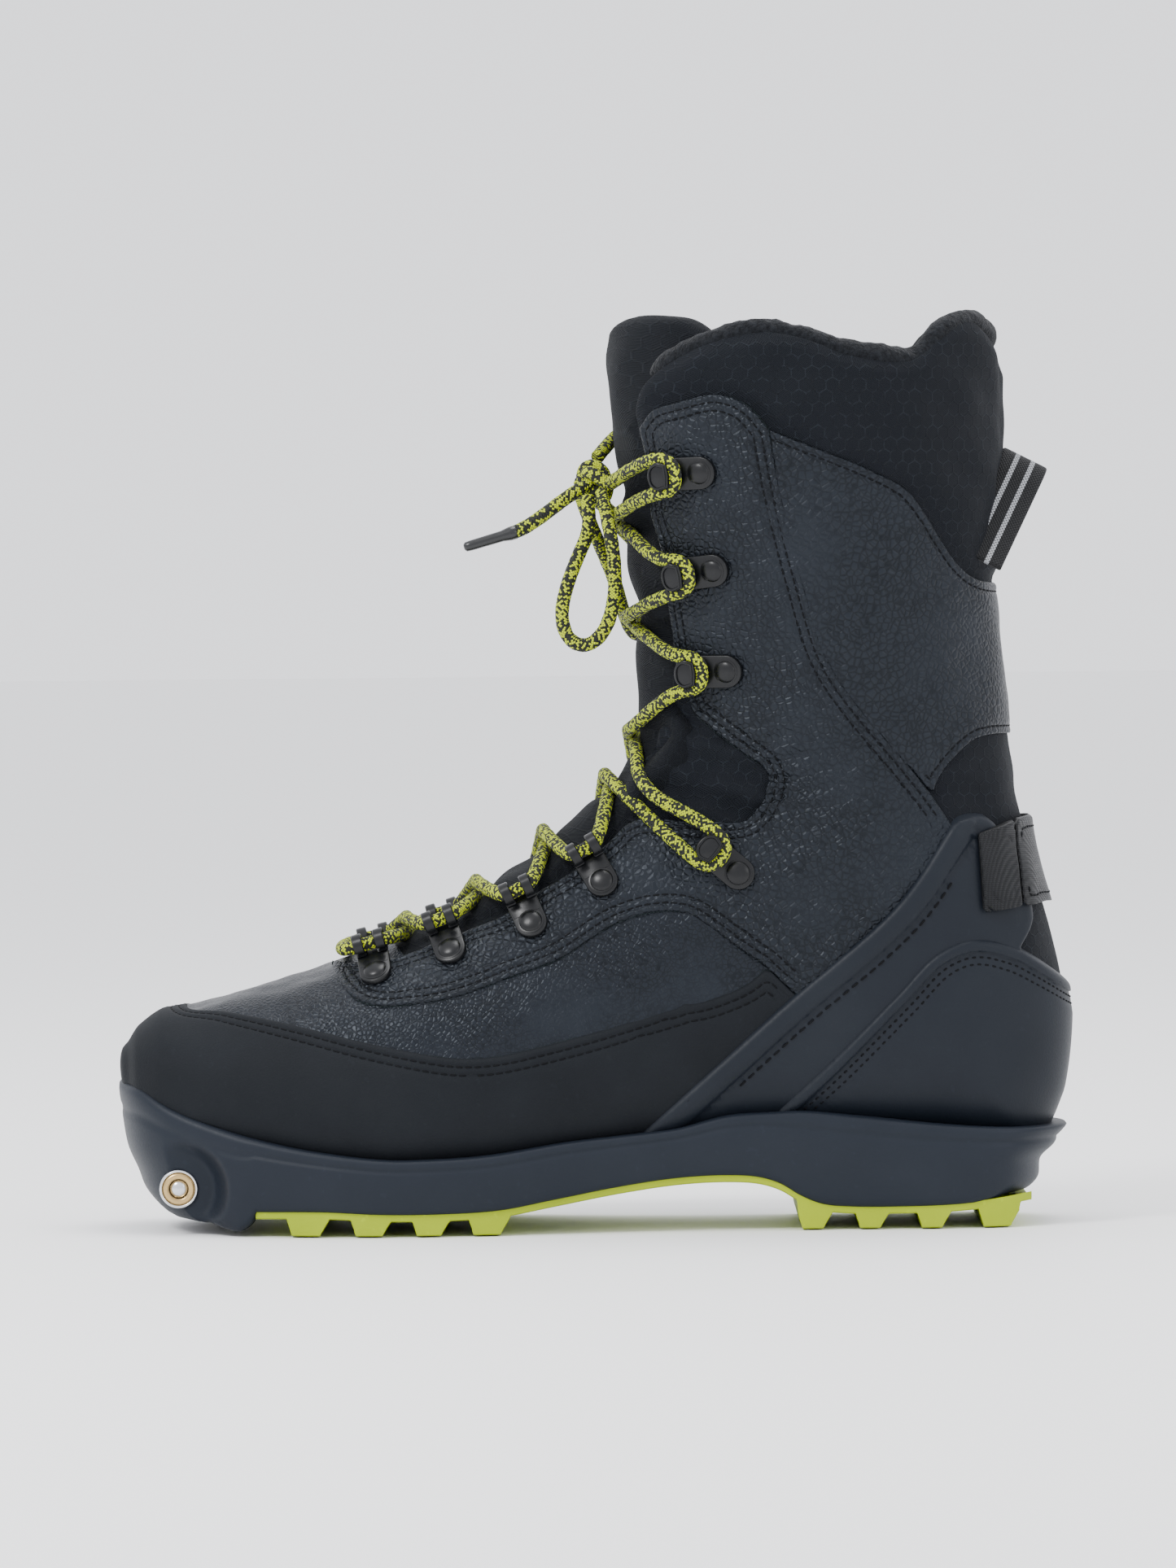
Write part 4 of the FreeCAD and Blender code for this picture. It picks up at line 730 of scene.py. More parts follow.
def base_grid():
    """Even rows and columns over the last, finer where the sections turn quickly."""
    probe = np.linspace(-1.0, len(TABLE) - 1.0, 1500)
    lines = [surface(probe, angle, 2.0) for angle in (0.0, 1.57, 3.14)]
    steps = sum(np.linalg.norm(np.diff(line, axis=0), axis=1) for line in lines)
    travelled = np.concatenate([[0.0], np.cumsum(steps)])
    places = np.interp(np.linspace(0.0, travelled[-1], ROWS), travelled, probe)
    dense = np.linspace(0.0, math.pi, 800)
    ring = surface(np.full(800, 9.0), dense, 0.0)
    run = travel(ring)
    half = np.interp(np.linspace(0.0, run[-1], COLUMNS // 2 + 1), run, dense)
    angles = np.concatenate([-half[::-1], half[1:]])
    grid_p, grid_a = np.meshgrid(places, angles, indexing="ij")
    wide = len(angles)
    cell = (np.arange(ROWS - 1)[:, None] * wide + np.arange(wide - 1)[None, :]).ravel()
    first = np.stack([cell, cell + wide, cell + wide + 1], axis=1)
    second = np.stack([cell, cell + wide + 1, cell + 1], axis=1)
    return grid_p.ravel(), grid_a.ravel(), np.vstack([first, second])


GRID_PLACE, GRID_ANGLE, GRID_TRIS = base_grid()


def side_distance(points, line, closed=False):
    """Distance on the side view from points (x, z) to a polyline."""
    starts = line
    ends = np.roll(line, -1, axis=0) if closed else line[1:]
    if not closed:
        starts = line[:-1]
    best = np.full(len(points), 1e9)
    for a, b in zip(starts, ends):
        run = b - a
        t = np.clip(((points - a) @ run) / max(run @ run, 1e-12), 0.0, 1.0)
        best = np.minimum(best, np.hypot(*(points - a - t[:, None] * run).T))
    return best


def inside_outline(points, ring):
    """Whether side-view points lie inside a closed ring."""
    odd = np.zeros(len(points), bool)
    x, z = points[:, 0], points[:, 1]
    for (ax, az), (bx, bz) in zip(ring, np.roll(ring, -1, axis=0)):
        if az == bz:
            continue
        crosses = ((az > z) != (bz > z)) & (x < (bx - ax) * (z - az) / (bz - az) + ax)
        odd ^= crosses
    return odd


def split_at(data, tris, level):
    """Cut the triangles along the line where the last data column equals level."""
    value = data[:, -1] - level
    value[np.abs(value) < 1e-7] = 1e-7
    above = value > 0
    count = above[tris].sum(axis=1)
    whole = tris[(count == 0) | (count == 3)]
    cut = tris[(count == 1) | (count == 2)]
    if not len(cut):
        return data, tris
    lone_is_above = above[cut].sum(axis=1) == 1
    lone = np.argmax(above[cut] == lone_is_above[:, None], axis=1)
    index = np.arange(len(cut))
    a, b, c = cut[index, lone], cut[index, (lone + 1) % 3], cut[index, (lone + 2) % 3]
    edges = np.sort(np.vstack([np.stack([a, b], 1), np.stack([a, c], 1)]), axis=1)
    unique, back_to = np.unique(edges, axis=0, return_inverse=True)
    back_to = back_to.ravel()
    va, vb = value[unique[:, 0]], value[unique[:, 1]]
    t = (va / (va - vb))[:, None]
    new = data[unique[:, 0]] * (1 - t) + data[unique[:, 1]] * t
    new[:, -1] = level
    ids = len(data) + back_to
    ab, ac = ids[:len(cut)], ids[len(cut):]
    made = [np.stack([a, ab, ac], 1), np.stack([ab, b, c], 1), np.stack([ab, c, ac], 1)]
    return np.vstack([data, new]), np.vstack([whole] + made)


def boundary_edges(tris):
    """Edges that belong to only one triangle."""
    edges = np.vstack([tris[:, [0, 1]], tris[:, [1, 2]], tris[:, [2, 0]]])
    key = np.sort(edges, axis=1)
    _, first, count = np.unique(key, axis=0, return_index=True, return_counts=True)
    return edges[first[count == 1]]


def chain(pairs):
    """Join index pairs into ordered runs."""
    near = {}
    for a, b in pairs:
        near.setdefault(int(a), []).append(int(b))
        near.setdefault(int(b), []).append(int(a))
    left = set(near)
    ends = [k for k, v in near.items() if len(v) == 1]
    runs = []
    for start in ends + list(near):
        if start not in left:
            continue
        run = [start]
        left.discard(start)
        while True:
            following = [k for k in near[run[-1]] if k in left]
            if not following:
                break
            run.append(following[0])
            left.discard(following[0])
        if len(run) > 4:
            if run[0] in near[run[-1]] and len(run) > 8:
                run.append(run[0])
            runs.append(run)
    return runs


def wobble(places, size_mm, seed):
    """Soft random lumps between about -1 and 1."""
    rng = np.random.default_rng(seed)
    total = np.zeros(len(places))
    for _ in range(10):
        direction = rng.normal(size=3)
        direction /= np.linalg.norm(direction)
        wave = 2 * math.pi / (size_mm * rng.uniform(0.7, 1.5))
        total += np.sin(places @ direction * wave + rng.uniform(0, 6.28))
    return total / 3.2


def real_distance(places, line_places, runs):
    """Distance in space from places to the joined edge runs."""
    tree = kdtree.KDTree(len(line_places))
    for number, place in enumerate(line_places):
        tree.insert(place, number)
    tree.balance()
    before, after = {}, {}
    for run in runs:
        for a, b in zip(run, run[1:]):
            after.setdefault(a, b)
            before.setdefault(b, a)
    nearest = np.array([tree.find(place)[1] for place in places])
    base = line_places[nearest]
    best = np.linalg.norm(places - base, axis=1)
    for step in (before, after):
        other = np.array([step.get(int(n), int(n)) for n in nearest])
        run = line_places[other] - base
        size = np.maximum((run ** 2).sum(axis=1), 1e-9)
        t = np.clip(((places - base) * run).sum(axis=1) / size, 0.0, 1.0)
        best = np.minimum(best, np.linalg.norm(places - base - t[:, None] * run, axis=1))
    return best


WELD = 0.00002                # metres


class Panel:
    """A piece of the upper: the stretch of the last surface inside a side-view outline."""

    def __init__(self, curves, out, levels=(), y_sign=0):
        ring = outline_of(curves)
        keep = GRID_TRIS
        data = np.stack([GRID_PLACE, GRID_ANGLE], axis=1)
        here = surface(data[:, 0], data[:, 1], out)
        flat = here[:, [0, 2]]
        low, high = ring.min(axis=0) - 6.0, ring.max(axis=0) + 6.0
        close = ((flat > low) & (flat < high)).all(axis=1)
        if y_sign:
            close &= here[:, 1] * y_sign > 0.0
        keep = keep[close[keep].all(axis=1)]
        used, renumbered = np.unique(keep, return_inverse=True)
        data, tris = data[used], renumbered.reshape(-1, 3)
        flat = flat[used]
        distance = side_distance(flat, ring, True) * np.where(inside_outline(flat, ring), 1.0, -1.0)
        data, tris = split_at(np.column_stack([data, distance]), tris, 0.0)
        tris = tris[(data[:, -1][tris] >= -1e-6).all(axis=1)]
        used, renumbered = np.unique(tris, return_inverse=True)
        data, tris = data[used], renumbered.reshape(-1, 3)
        self.out = out
        here = surface(data[:, 0], data[:, 1], out)
        on_line = np.abs(data[:, -1]) < 1e-6
        edge = boundary_edges(tris)
        edge = edge[on_line[edge].all(axis=1)]
        runs = chain(edge)
        order = sorted({k for run in runs for k in run})
        number = {k: n for n, k in enumerate(order)}
        runs = [[number[k] for k in run] for run in runs]
        span = real_distance(here, here[order], runs)
        span[on_line] = 0.0
        data = np.column_stack([data[:, :2], span])
        for level in levels:
            data, tris = split_at(data, tris, level)
        self.place, self.angle, self.inward, self.tris = data[:, 0], data[:, 1], data[:, 2], tris
        self.base = surface(self.place, self.angle, out)

    def side(self):
        return self.base[:, [0, 2]]

    def build(self, name, heights, low, materials, wall=0, back_side=False):
        """Mesh with the outer face at out + heights, walls down to low, and with back_side an inner face."""
        outer = surface(self.place, self.angle, self.out + heights)
        edge = boundary_edges(self.tris)
        seam = (np.abs(np.abs(self.angle[edge]) - math.pi) < 1e-6).all(axis=1)
        edge = edge[~seam]
        count = len(outer)
        faces = [tuple(t) for t in self.tris]
        kinds = [0] * len(faces)
        if back_side:
            inner = surface(self.place, self.angle, np.full(count, low))
            places = np.vstack([outer, inner])
            faces += [(c + count, b + count, a + count) for a, b, c in self.tris]
            faces += [(b, a, a + count, b + count) for a, b in edge]
            kinds += [0] * len(self.tris) + [wall] * len(edge)
        else:
            rim = np.unique(edge)
            number = {int(k): count + n for n, k in enumerate(rim)}
            inner = surface(self.place[rim], self.angle[rim], np.full(len(rim), low))
            places = np.vstack([outer, inner])
            faces += [(int(b), int(a), number[int(a)], number[int(b)]) for a, b in edge]
            kinds += [wall] * len(edge)
        obj = mesh_from(name, places, faces, materials, kinds)
        set_normals(obj, WELD)
        obj.data.polygons.foreach_set("use_smooth", [True] * len(obj.data.polygons))
        self.outer = outer
        return obj

    def line(self, level):
        """Runs of places on the outer face where the distance from the edge equals level."""
        on = np.abs(self.inward - level) < 1e-6
        both = self.tris[on[self.tris].sum(axis=1) == 2]
        pairs = [tuple(sorted(int(k) for k in tri if on[k])) for tri in both]
        return [self.outer[run] for run in chain(set(pairs))]


def edge_round(inward, radius):
    """Height of a rounded edge: radius below full height at the very edge."""
    t = np.clip(1.0 - inward / radius, 0.0, 1.0)
    return -radius * (1.0 - np.sqrt(np.maximum(1.0 - t ** 2, 0.0)))


def groove(inward, middle, half, depth):
    """Height of a soft groove that runs beside an edge."""
    return -depth * np.exp(-((inward - middle) / half) ** 2)


# ---- stitches ----
STITCHES = []


def resample(run, pitch):
    """Points every pitch along a run."""
    run = np.asarray(run)
    lengths = travel(run)
    spots = np.arange(0.0, lengths[-1], pitch)
    return np.stack([np.interp(spots, lengths, run[:, k]) for k in range(3)], axis=1)


def stitch_line(runs, pitch=3.0, share=0.72, radius=0.32, wanted=None):
    """Add a stitch every pitch along the runs, where wanted(x, z) holds."""
    for run in runs:
        if len(run) < 3:
            continue
        fine = resample(run, pitch / 4.0)
        for start in range(0, len(fine) - 4, 4):
            piece = fine[start:start + 4]
            if wanted is not None and not wanted(piece[1][0], piece[1][2]):
                continue
            first = piece[0]
            last = first + (piece[3] - first) * (share / 0.75)
            STITCHES.append((first, last, radius))


def build_stitches(name, material):
    """One mesh of short round-ended threads, one for each stitch."""
    places, faces = [], []
    sides = 6
    for first, last, radius in STITCHES:
        along = last - first
        size = np.linalg.norm(along)
        if size < 0.3:
            continue
        along = along / size
        across = np.cross(along, (0.31, 0.12, 0.94))
        across /= np.linalg.norm(across)
        up = np.cross(along, across)
        start = len(places)
        for t, r in ((-0.03, 0.25), (0.06, 0.85), (0.5, 1.0), (0.94, 0.85), (1.03, 0.25)):
            centre = first + along * size * t
            for k in range(sides):
                turn = 2 * math.pi * k / sides
                places.append(centre + (across * math.cos(turn) + up * math.sin(turn)) * radius * r)
        faces += grid_faces(5, sides, start=start)
    return mesh_from(name, places, faces, [material])


# ---- The upper ----
def near(curve, reach):
    """A test that holds within reach of a side-view curve."""
    line = smooth_curve(curve)

    def test(x, z):
        return side_distance(np.array([[x, z]]), line)[0] < reach
    return test


def side_gap(panel, curve):
    """Side-view distance of every panel point from one of its edge curves."""
    return side_distance(panel.side(), smooth_curve(curve))


SEAM_ROWS = (2.6, 5.2)        # distance of the two stitch rows from a leather edge
EDGE_LEVELS = (0.25, 0.7, 1.3, 2.0, 2.6, 3.2, 4.6, 5.2, 5.8)
UNDER = 6.0                   # how far a lower layer runs on under the one above it


def make_vamp():
    curves = [[(-137.0, 66.0), (-137.0, 95.0)], [(-137.0, 95.0), (-70.0, 96.0)], [(-70.0, 96.0), (-60.0, 86.8)],
              [(-60.0, 86.8), (-49.0, 82.0)], moved(QUARTER_LOW[5:], 0.0, UNDER), [(53.5, 88.5), (58.0, 78.0)],
              [(58.0, 78.0), (50.0, 70.0)], back(moved(RAND_TOP[1:-1], -2.0, -UNDER))]
    p = Panel(curves, VAMP)
    # the toe box creases across behind the cap
    crease = sum(0.35 * np.exp(-((p.base[:, 0] - x + 0.25 * p.base[:, 1]) / 3.0) ** 2)
                 for x in (-92.0, -76.0, -63.0))
    heights = 0.35 * wobble(p.base, 24.0, 3) + 0.12 * wobble(p.base, 8.0, 4) - crease * 0.5
    obj = p.build("vamp_leather", heights, 0.0, [MAT["vamp"]])
    bend(obj, "vamp")
    return p


RAND_SEAM = 9.0               # the rand is only stitched this near to its top edge


def make_rand():
    curves = [RAND_TOP, QUARTER_TAIL, back(moved(FRAME_FRONT_LOW, 5.0, -3.0)), [(18.9, 27.3), (18.9, 22.0)],
              back(moved(FEATHER[:10], 0.0, -4.0)), [(-160.0, 42.0), (-160.0, 80.0)],
              [(-160.0, 80.0), (-132.0, 80.0)]]
    p = Panel(curves, LEATHER - 0.5, EDGE_LEVELS)
    gap = side_gap(p, RAND_TOP)
    body = np.clip(gap / 1.2, 0.0, 1.0) * 0.5
    heights = body + 0.12 * wobble(p.base, 30.0, 5) + edge_round(p.inward, 0.7)
    heights += np.where(gap < RAND_SEAM, sum(groove(p.inward, row, 0.7, 0.42) for row in SEAM_ROWS), 0.0)
    obj = p.build("toe_rand_skin", heights, 0.2, [MAT["rand"], MAT["raw"]], wall=1)
    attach(obj, FOOT)
    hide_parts("toe_rand")
    wanted = near(RAND_TOP[1:], RAND_SEAM)
    for level in SEAM_ROWS:
        stitch_line(p.line(level), 2.9, wanted=lambda x, z: wanted(x, z) and z > 50.0)
    return p


def make_leather():
    curves = [THROAT_LOW, INSERT_LOW, INSERT_HIGH, THROAT_HIGH, FRONT_TOP, SEAM_HIGH, SEAM_LOW,
              [(112.2, 126.4), (118.0, 121.0)], back(moved(FRAME_FRONT, 5.5, -3.5)),
              [(67.9, 70.3), (62.4, 73.8)], back(QUARTER_TAIL), back(QUARTER_LOW)]
    p = Panel(curves, LEATHER - 0.35, EDGE_LEVELS)
    x, z = p.base[:, 0], p.base[:, 2]
    # wrinkles gather where the leather folds behind the gusset
    fold = np.exp(-(((x - 62.0) / 20.0) ** 2 + ((z - 139.0) / 15.0) ** 2))
    wrinkle = np.sin((z - 138.0 - 0.16 * (x - 60.0) + 1.1 * wobble(p.base, 16.0, 9)) * 1.15) * fold
    lower = np.exp(-(((x - 66.0) / 30.0) ** 2 + ((z - 104.0) / 22.0) ** 2))
    heights = 0.30 * wobble(p.base, 26.0, 6) + 0.10 * wobble(p.base, 9.0, 7) + 0.75 * wrinkle
    heights += 0.5 * lower * wobble(p.base, 19.0, 8)
    heights += 0.35 * (1.0 - np.exp(-p.inward / 1.6)) + edge_round(p.inward, 0.65)
    heights += groove(p.inward, SEAM_ROWS[0], 0.7, 0.45) + groove(p.inward, SEAM_ROWS[1], 0.7, 0.42)
    obj = p.build("quarter_and_shaft_leather", heights, 0.3, [MAT["pebble"], MAT["raw"]], wall=1)
    bend(obj, "quarter_lateral", "quarter_medial", "shaft_front_lateral", "shaft_front_medial")
    hidden = near(FRAME_FRONT + [(118.0, 121.0)], 6.5)
    for level in SEAM_ROWS:
        stitch_line(p.line(level), 2.8, wanted=lambda x, z: not hidden(x, z))
    return p


def make_insert():
    curves = [moved(INSERT_FRONT, -6.0, 0.0), [(24.8, 162.6), (29.0, 170.0)],
              back(moved(INSERT_HIGH, 4.0, 5.0)),
              [(58.6, 145.9), (60.0, 139.0)], back(moved(INSERT_LOW, 3.0, -6.0)), [(18.4, 123.9), (9.4, 129.9)]]
    p = Panel(curves, TEXTILE)
    x, z = p.base[:, 0], p.base[:, 2]
    heights = 0.8 * wobble(p.base, 13.0, 12) + 0.9 * np.sin((z - 140.0 + 0.35 * (x - 30.0)) * 0.55) - 0.6
    obj = p.build("ankle_gusset", heights, -0.8, [MAT["cloth"]])
    bend(obj, "flex_insert_lateral", "flex_insert_medial")


def make_cuff():
    curves = [REAR_TOP, [(140.0, 201.0), (150.0, 154.1)], back(CUFF_LOW), back(SEAM_LOW[:2]),
              [(97.7, 146.2), (92.0, 144.0)], moved(back(SEAM_HIGH[:-1]), -UNDER, 0.0),
              [(49.5, 250.7), (55.5, 250.7)]]
    p = Panel(curves, CUFF - 0.3, EDGE_LEVELS)
    heights = 0.5 * wobble(p.base, 32.0, 13) + 0.12 * wobble(p.base, 10.0, 14)
    heights += 0.3 * (1 - np.exp(-p.inward / 1.5))
    heights += edge_round(p.inward, 0.6) + groove(p.inward, SEAM_ROWS[0], 0.7, 0.42)
    obj = p.build("rear_cuff_leather", heights, 0.2, [MAT["cuff"], MAT["raw"]], wall=1)
    bend(obj, "rear_cuff")
    top, low = near(REAR_TOP, 4.5), near(CUFF_LOW, 4.5)
    stitch_line(p.line(SEAM_ROWS[0]), 2.8, wanted=lambda x, z: top(x, z) or low(x, z))


def make_achilles():
    curves = [back(moved(SEAM_LOW, -UNDER, 0.0)), moved(CUFF_LOW, 0.0, UNDER), [(145.0, 160.1), (170.0, 150.0)],
              [(170.0, 150.0), (170.0, 62.0)], back(moved(CUP_EDGE_BACK, 0.0, -UNDER)),
              back(moved(FRAME_BACK, -UNDER, 0.0)), [(121.4, 124.8), (106.2, 126.4)]]
    p = Panel(curves, TEXTILE)
    z = p.base[:, 2]
    heights = 0.5 * wobble(p.base, 22.0, 15)
    heights += 0.5 * np.sin((z - 120.0) * 0.33) * np.exp(-((z - 140.0) / 14.0) ** 2)
    obj = p.build("achilles_cloth", heights, -0.8, [MAT["cloth"]])
    bend(obj, "achilles_panel")


COLLAR_PUFF = 2.4


def make_collar():
    curves = [COLLAR_TOP, [(140.0, 262.0), (150.0, 201.0)], back(moved(REAR_TOP, 0.0, -4.0)),
              back(moved(FRONT_TOP, 0.0, -4.0)), [(15.1, 248.0), (15.1, 252.0)]]
    p = Panel(curves, TEXTILE - 0.6, (0.5, 1.2, 2.2, 3.5, 5.0))
    under_edge = np.minimum(side_gap(p, FRONT_TOP), side_gap(p, REAR_TOP))
    puff = COLLAR_PUFF * (1.0 - np.exp(-np.maximum(under_edge - 2.0, 0.0) / 5.0))
    puff *= np.clip(p.inward / 4.0, 0.0, 1.0) ** 0.5
    heights = puff + 0.55 * wobble(p.base, 17.0, 17) * np.clip(p.inward / 5.0, 0.0, 1.0)
    obj = p.build("collar_pad", heights, LINING_OUT + 0.4, [MAT["cloth"]], back_side=True)
    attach(obj, SHAFT)
    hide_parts("collar")


def collar_edge(angles, out):
    """Places on the last at the collar's top line for the given angles."""
    line = smooth_curve(COLLAR_TOP)
    order = np.argsort(line[:, 0])
    low, high = np.full(len(angles), 17.0), np.full(len(angles), 23.0)
    for _ in range(30):
        mid = 0.5 * (low + high)
        here = surface(mid, angles, out)
        over = here[:, 2] > np.interp(here[:, 0], line[order, 0], line[order, 1])
        high, low = np.where(over, mid, high), np.where(over, low, mid)
    return low


def ring_tube(centres, radii, sides):
    """Tube mesh points and faces with parallel frames along the centres."""
    centres = np.asarray(centres, float)
    count = len(centres)
    ahead = np.roll(centres, -1, axis=0) - np.roll(centres, 1, axis=0)
    ahead[0], ahead[-1] = centres[1] - centres[0], centres[-1] - centres[-2]
    ahead /= np.linalg.norm(ahead, axis=1)[:, None]
    normal = np.cross(ahead[0], (0.3, 0.9, 0.2))
    normal /= np.linalg.norm(normal)
    places = []
    for k in range(count):
        normal = normal - ahead[k] * (normal @ ahead[k])
        normal /= np.linalg.norm(normal)
        other = np.cross(ahead[k], normal)
        turn = np.arange(sides) * (2 * math.pi / sides)
        ring = np.cos(turn)[:, None] * normal + np.sin(turn)[:, None] * other
        places.append(centres[k] + ring * (radii[k] if np.ndim(radii) else radii))
    return np.vstack(places), grid_faces(count, sides) + end_faces(count, sides)


def make_rim():
    """The rolled fleece edge at the top of the lining."""
    angles = np.linspace(0.62, 2 * math.pi - 0.62, 260)
    turned = np.where(angles > math.pi, angles - 2 * math.pi, angles)
    places = collar_edge(turned, -2.6)
    centres = surface(places, turned, np.full(len(turned), -2.6))
    centres[:, 2] += 0.3
    wave = 3.7 + 0.35 * wobble(centres, 14.0, 21)
    wave *= np.clip(np.minimum(np.arange(260), np.arange(260)[::-1]) / 8.0, 0.2, 1.0) ** 0.5
    points, faces = ring_tube(centres, wave, 22)
    points += 0.25 * wobble(points, 4.0, 22)[:, None] * np.array([0.2, 0.2, 1.0])
    obj = mesh_from("collar_fleece_rim", points, faces, [MAT["fleece"]])
    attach(obj, SHAFT)


def make_lining():
    """The inside skin, seen through the top opening."""
    angles = np.linspace(0.50, 2 * math.pi - 0.50, 120)
    turned = np.where(angles > math.pi, angles - 2 * math.pi, angles)
    top = collar_edge(turned, LINING_IN + 0.3)
    rows = []
    for share in np.linspace(0.0, 1.0, 90):
        rows.append(surface(top * (1 - share) + 3.0 * share, turned, np.full(len(turned), LINING_IN + 0.3)))
    places = np.vstack(rows)
    places += (0.5 * wobble(places, 26.0, 23))[:, None] * np.array([0.3, 1.0, 0.2])
    obj = mesh_from("lining_skin", places, grid_faces(len(rows), len(turned), False), [MAT["fleece"]])
    bend(obj, "lining_foot", "lining_shaft", "padding_foot", "padding_shaft", "toe_puff", "heel_counter",
         "lasting_board")


ROLL_EDGE = [(12.9, 125.5), (19.0, 131.5), (27.6, 140.4), (32.6, 148.7), (33.9, 155.4), (31.0, 163.0),
             (30.0, 172.0)]
TONGUE_FACE = -2.4
PRESSED_HIGH = (152.5, 196.0, 232.0)         # heights where the laces press the tongue
PRESSED_LOW = (-60.0, -37.5, -15.5, 6.0)     # and places along the instep
LEATHER_RING = outline_of([THROAT_LOW, INSERT_LOW, INSERT_HIGH, THROAT_HIGH, FRONT_TOP, SEAM_HIGH, SEAM_LOW,
                           back(FRAME_FRONT), back(QUARTER_TAIL), back(QUARTER_LOW)])


def make_tongue():
    rear_low = [(-83.0, 88.0), (-73.5, 80.0), (-50.0, 82.5), (-25.0, 92.5), (0.0, 109.5), (9.0, 119.0),
                (12.9, 125.5)]
    rear_high = [(30.0, 172.0), (32.4, 190.0), (28.6, 215.0), (25.6, 240.0), (25.6, 262.0), (28.0, 273.0),
                 (43.0, 279.0)]
    curves = [rear_low, ROLL_EDGE, rear_high, back(TONGUE_TOP[1:8]), [(3.5, 273.0), (-6.0, 262.0)],
              [(-6.0, 262.0), (-40.0, 200.0)], [(-40.0, 200.0), (-95.0, 100.0)],
              [(-95.0, 100.0), (-83.0, 88.0)]]
    p = Panel(curves, TONGUE_FACE, (0.6, 1.4, 2.4, 3.6, 5.0))
    x, z = p.base[:, 0], p.base[:, 2]
    run = (x + 80.0) * 0.8 + (z - 80.0) * 0.62
    # quilted ribs across the tongue; the laces press valleys between them
    valley = np.zeros(len(x))
    for value in PRESSED_HIGH:
        valley += 2.6 * np.exp(-((z - value) / 5.0) ** 2) * np.clip((z - 135.0) / 6.0, 0.0, 1.0)
    for value in PRESSED_LOW:
        valley += 1.6 * np.exp(-((x - value) / 4.0) ** 2) * np.clip((140.0 - z) / 6.0, 0.0, 1.0)
    roll = np.exp(-((side_gap(p, ROLL_EDGE[1:6]) - 5.5) / 4.6) ** 2)
    roll *= np.clip((z - 124.0) / 8.0, 0.0, 1.0) * np.clip((170.0 - z) / 8.0, 0.0, 1.0)
    heights = 1.5 + 0.9 * wobble(p.base, 21.0, 25) - valley + 4.6 * roll + 0.35 * np.sin(run * 0.35)
    heights += 2.2 * np.clip((20.0 - x) / 20.0, 0.0, 1.0) * np.clip((x + 82.0) / 12.0, 0.0, 1.0)
    open_top = np.clip((z - 262.0) / 8.0, 0.0, 1.0)
    rounding = edge_round(p.inward, 3.0)
    heights = heights * np.clip(p.inward / 4.0, 0.0, 1.0) ** 0.7 + rounding * (0.4 + 0.6 * open_top)
    inside_leather = inside_outline(p.side(), LEATHER_RING)
    heights = np.where(inside_leather, np.minimum(heights, 1.9), heights)
    heights = np.where(inside_leather & (roll < 0.2), np.minimum(heights, 1.6), heights)
    obj = p.build("tongue_pad", heights, TONGUE_IN + 0.5, [MAT["tongue"]], back_side=True)
    bend(obj, "tongue_lower", "tongue_upper")


def make_frames():
    front = FRAME_FRONT_LOW + FRAME_FRONT[1:]
    curves = [FRAME_FRONT_LOW, FRAME_FRONT, FRAME_TOP, FRAME_BACK, back(moved(CUP_EDGE_FRONT, 2.0, -UNDER)),
              [(58.8, 30.8), (56.8, 22.0)], [(56.8, 22.0), (13.9, 20.0)], [(13.9, 20.0), (13.9, 30.3)]]
    for side_name, sign in SIDES.items():
        p = Panel(curves, FRAME - 0.4, (0.25, 0.7, 1.3, 2.0, 4.0, 6.2, 7.0, 7.8), sign)
        gap = side_gap(p, front)
        rib = np.clip(1.0 - ((gap - 3.6) / 3.6) ** 2, 0.0, 1.0) ** 0.6
        rim = np.exp(-((np.minimum(side_gap(p, FRAME_TOP), side_gap(p, FRAME_BACK)) - 1.6) / 1.3) ** 2)
        heights = 0.4 + 1.25 * rib + 0.5 * rim * (1 - rib) + edge_round(p.inward, 1.0)
        heights += -0.35 * np.exp(-((gap - 7.9) / 0.7) ** 2)
        obj = p.build("support_frame_skin_" + side_name, heights, 0.4, [MAT["frame"]])
        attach(obj, FOOT)
        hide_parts("support_frame_" + side_name)
        line = smooth_curve(front)
        step = np.gradient(line, axis=0)
        step /= np.linalg.norm(step, axis=1)[:, None]
        row = line + np.stack([step[:, 1], -step[:, 0]], axis=1) * 9.6
        run = [side_place(x, z, FRAME + 0.1, sign) for x, z in row[30:-12:2]]
        if sign < 0:
            stitch_line([np.array(run)], 3.6, 0.66, 0.36)


def side_place(x, z, out, side):
    """The point of the last beside (x, z); side is -1 lateral or 1 medial."""
    turn = -float(side)
    place, angle = 10.0, 1.5 * turn
    for _ in range(14):
        here = surface(place, angle, out)[0]
        miss = np.array([x - here[0], z - here[2]])
        if np.hypot(*miss) < 0.01:
            break
        by_place = (surface(place + 0.01, angle, out)[0] - here)[[0, 2]] / 0.01
        by_angle = (surface(place, angle + 0.01, out)[0] - here)[[0, 2]] / 0.01
        move = np.linalg.lstsq(np.stack([by_place, by_angle], axis=1), miss, rcond=None)[0]
        place = float(np.clip(place + np.clip(move[0], -2.0, 2.0), 0.0, 23.0))
        angle = float(np.clip((angle + np.clip(move[1], -0.3, 0.3)) * turn, 0.12, 3.0) * turn)
    return surface(place, angle, out)[0]


CUP_ROWS, CUP_SEAM = (5.4, 7.6), 12.0


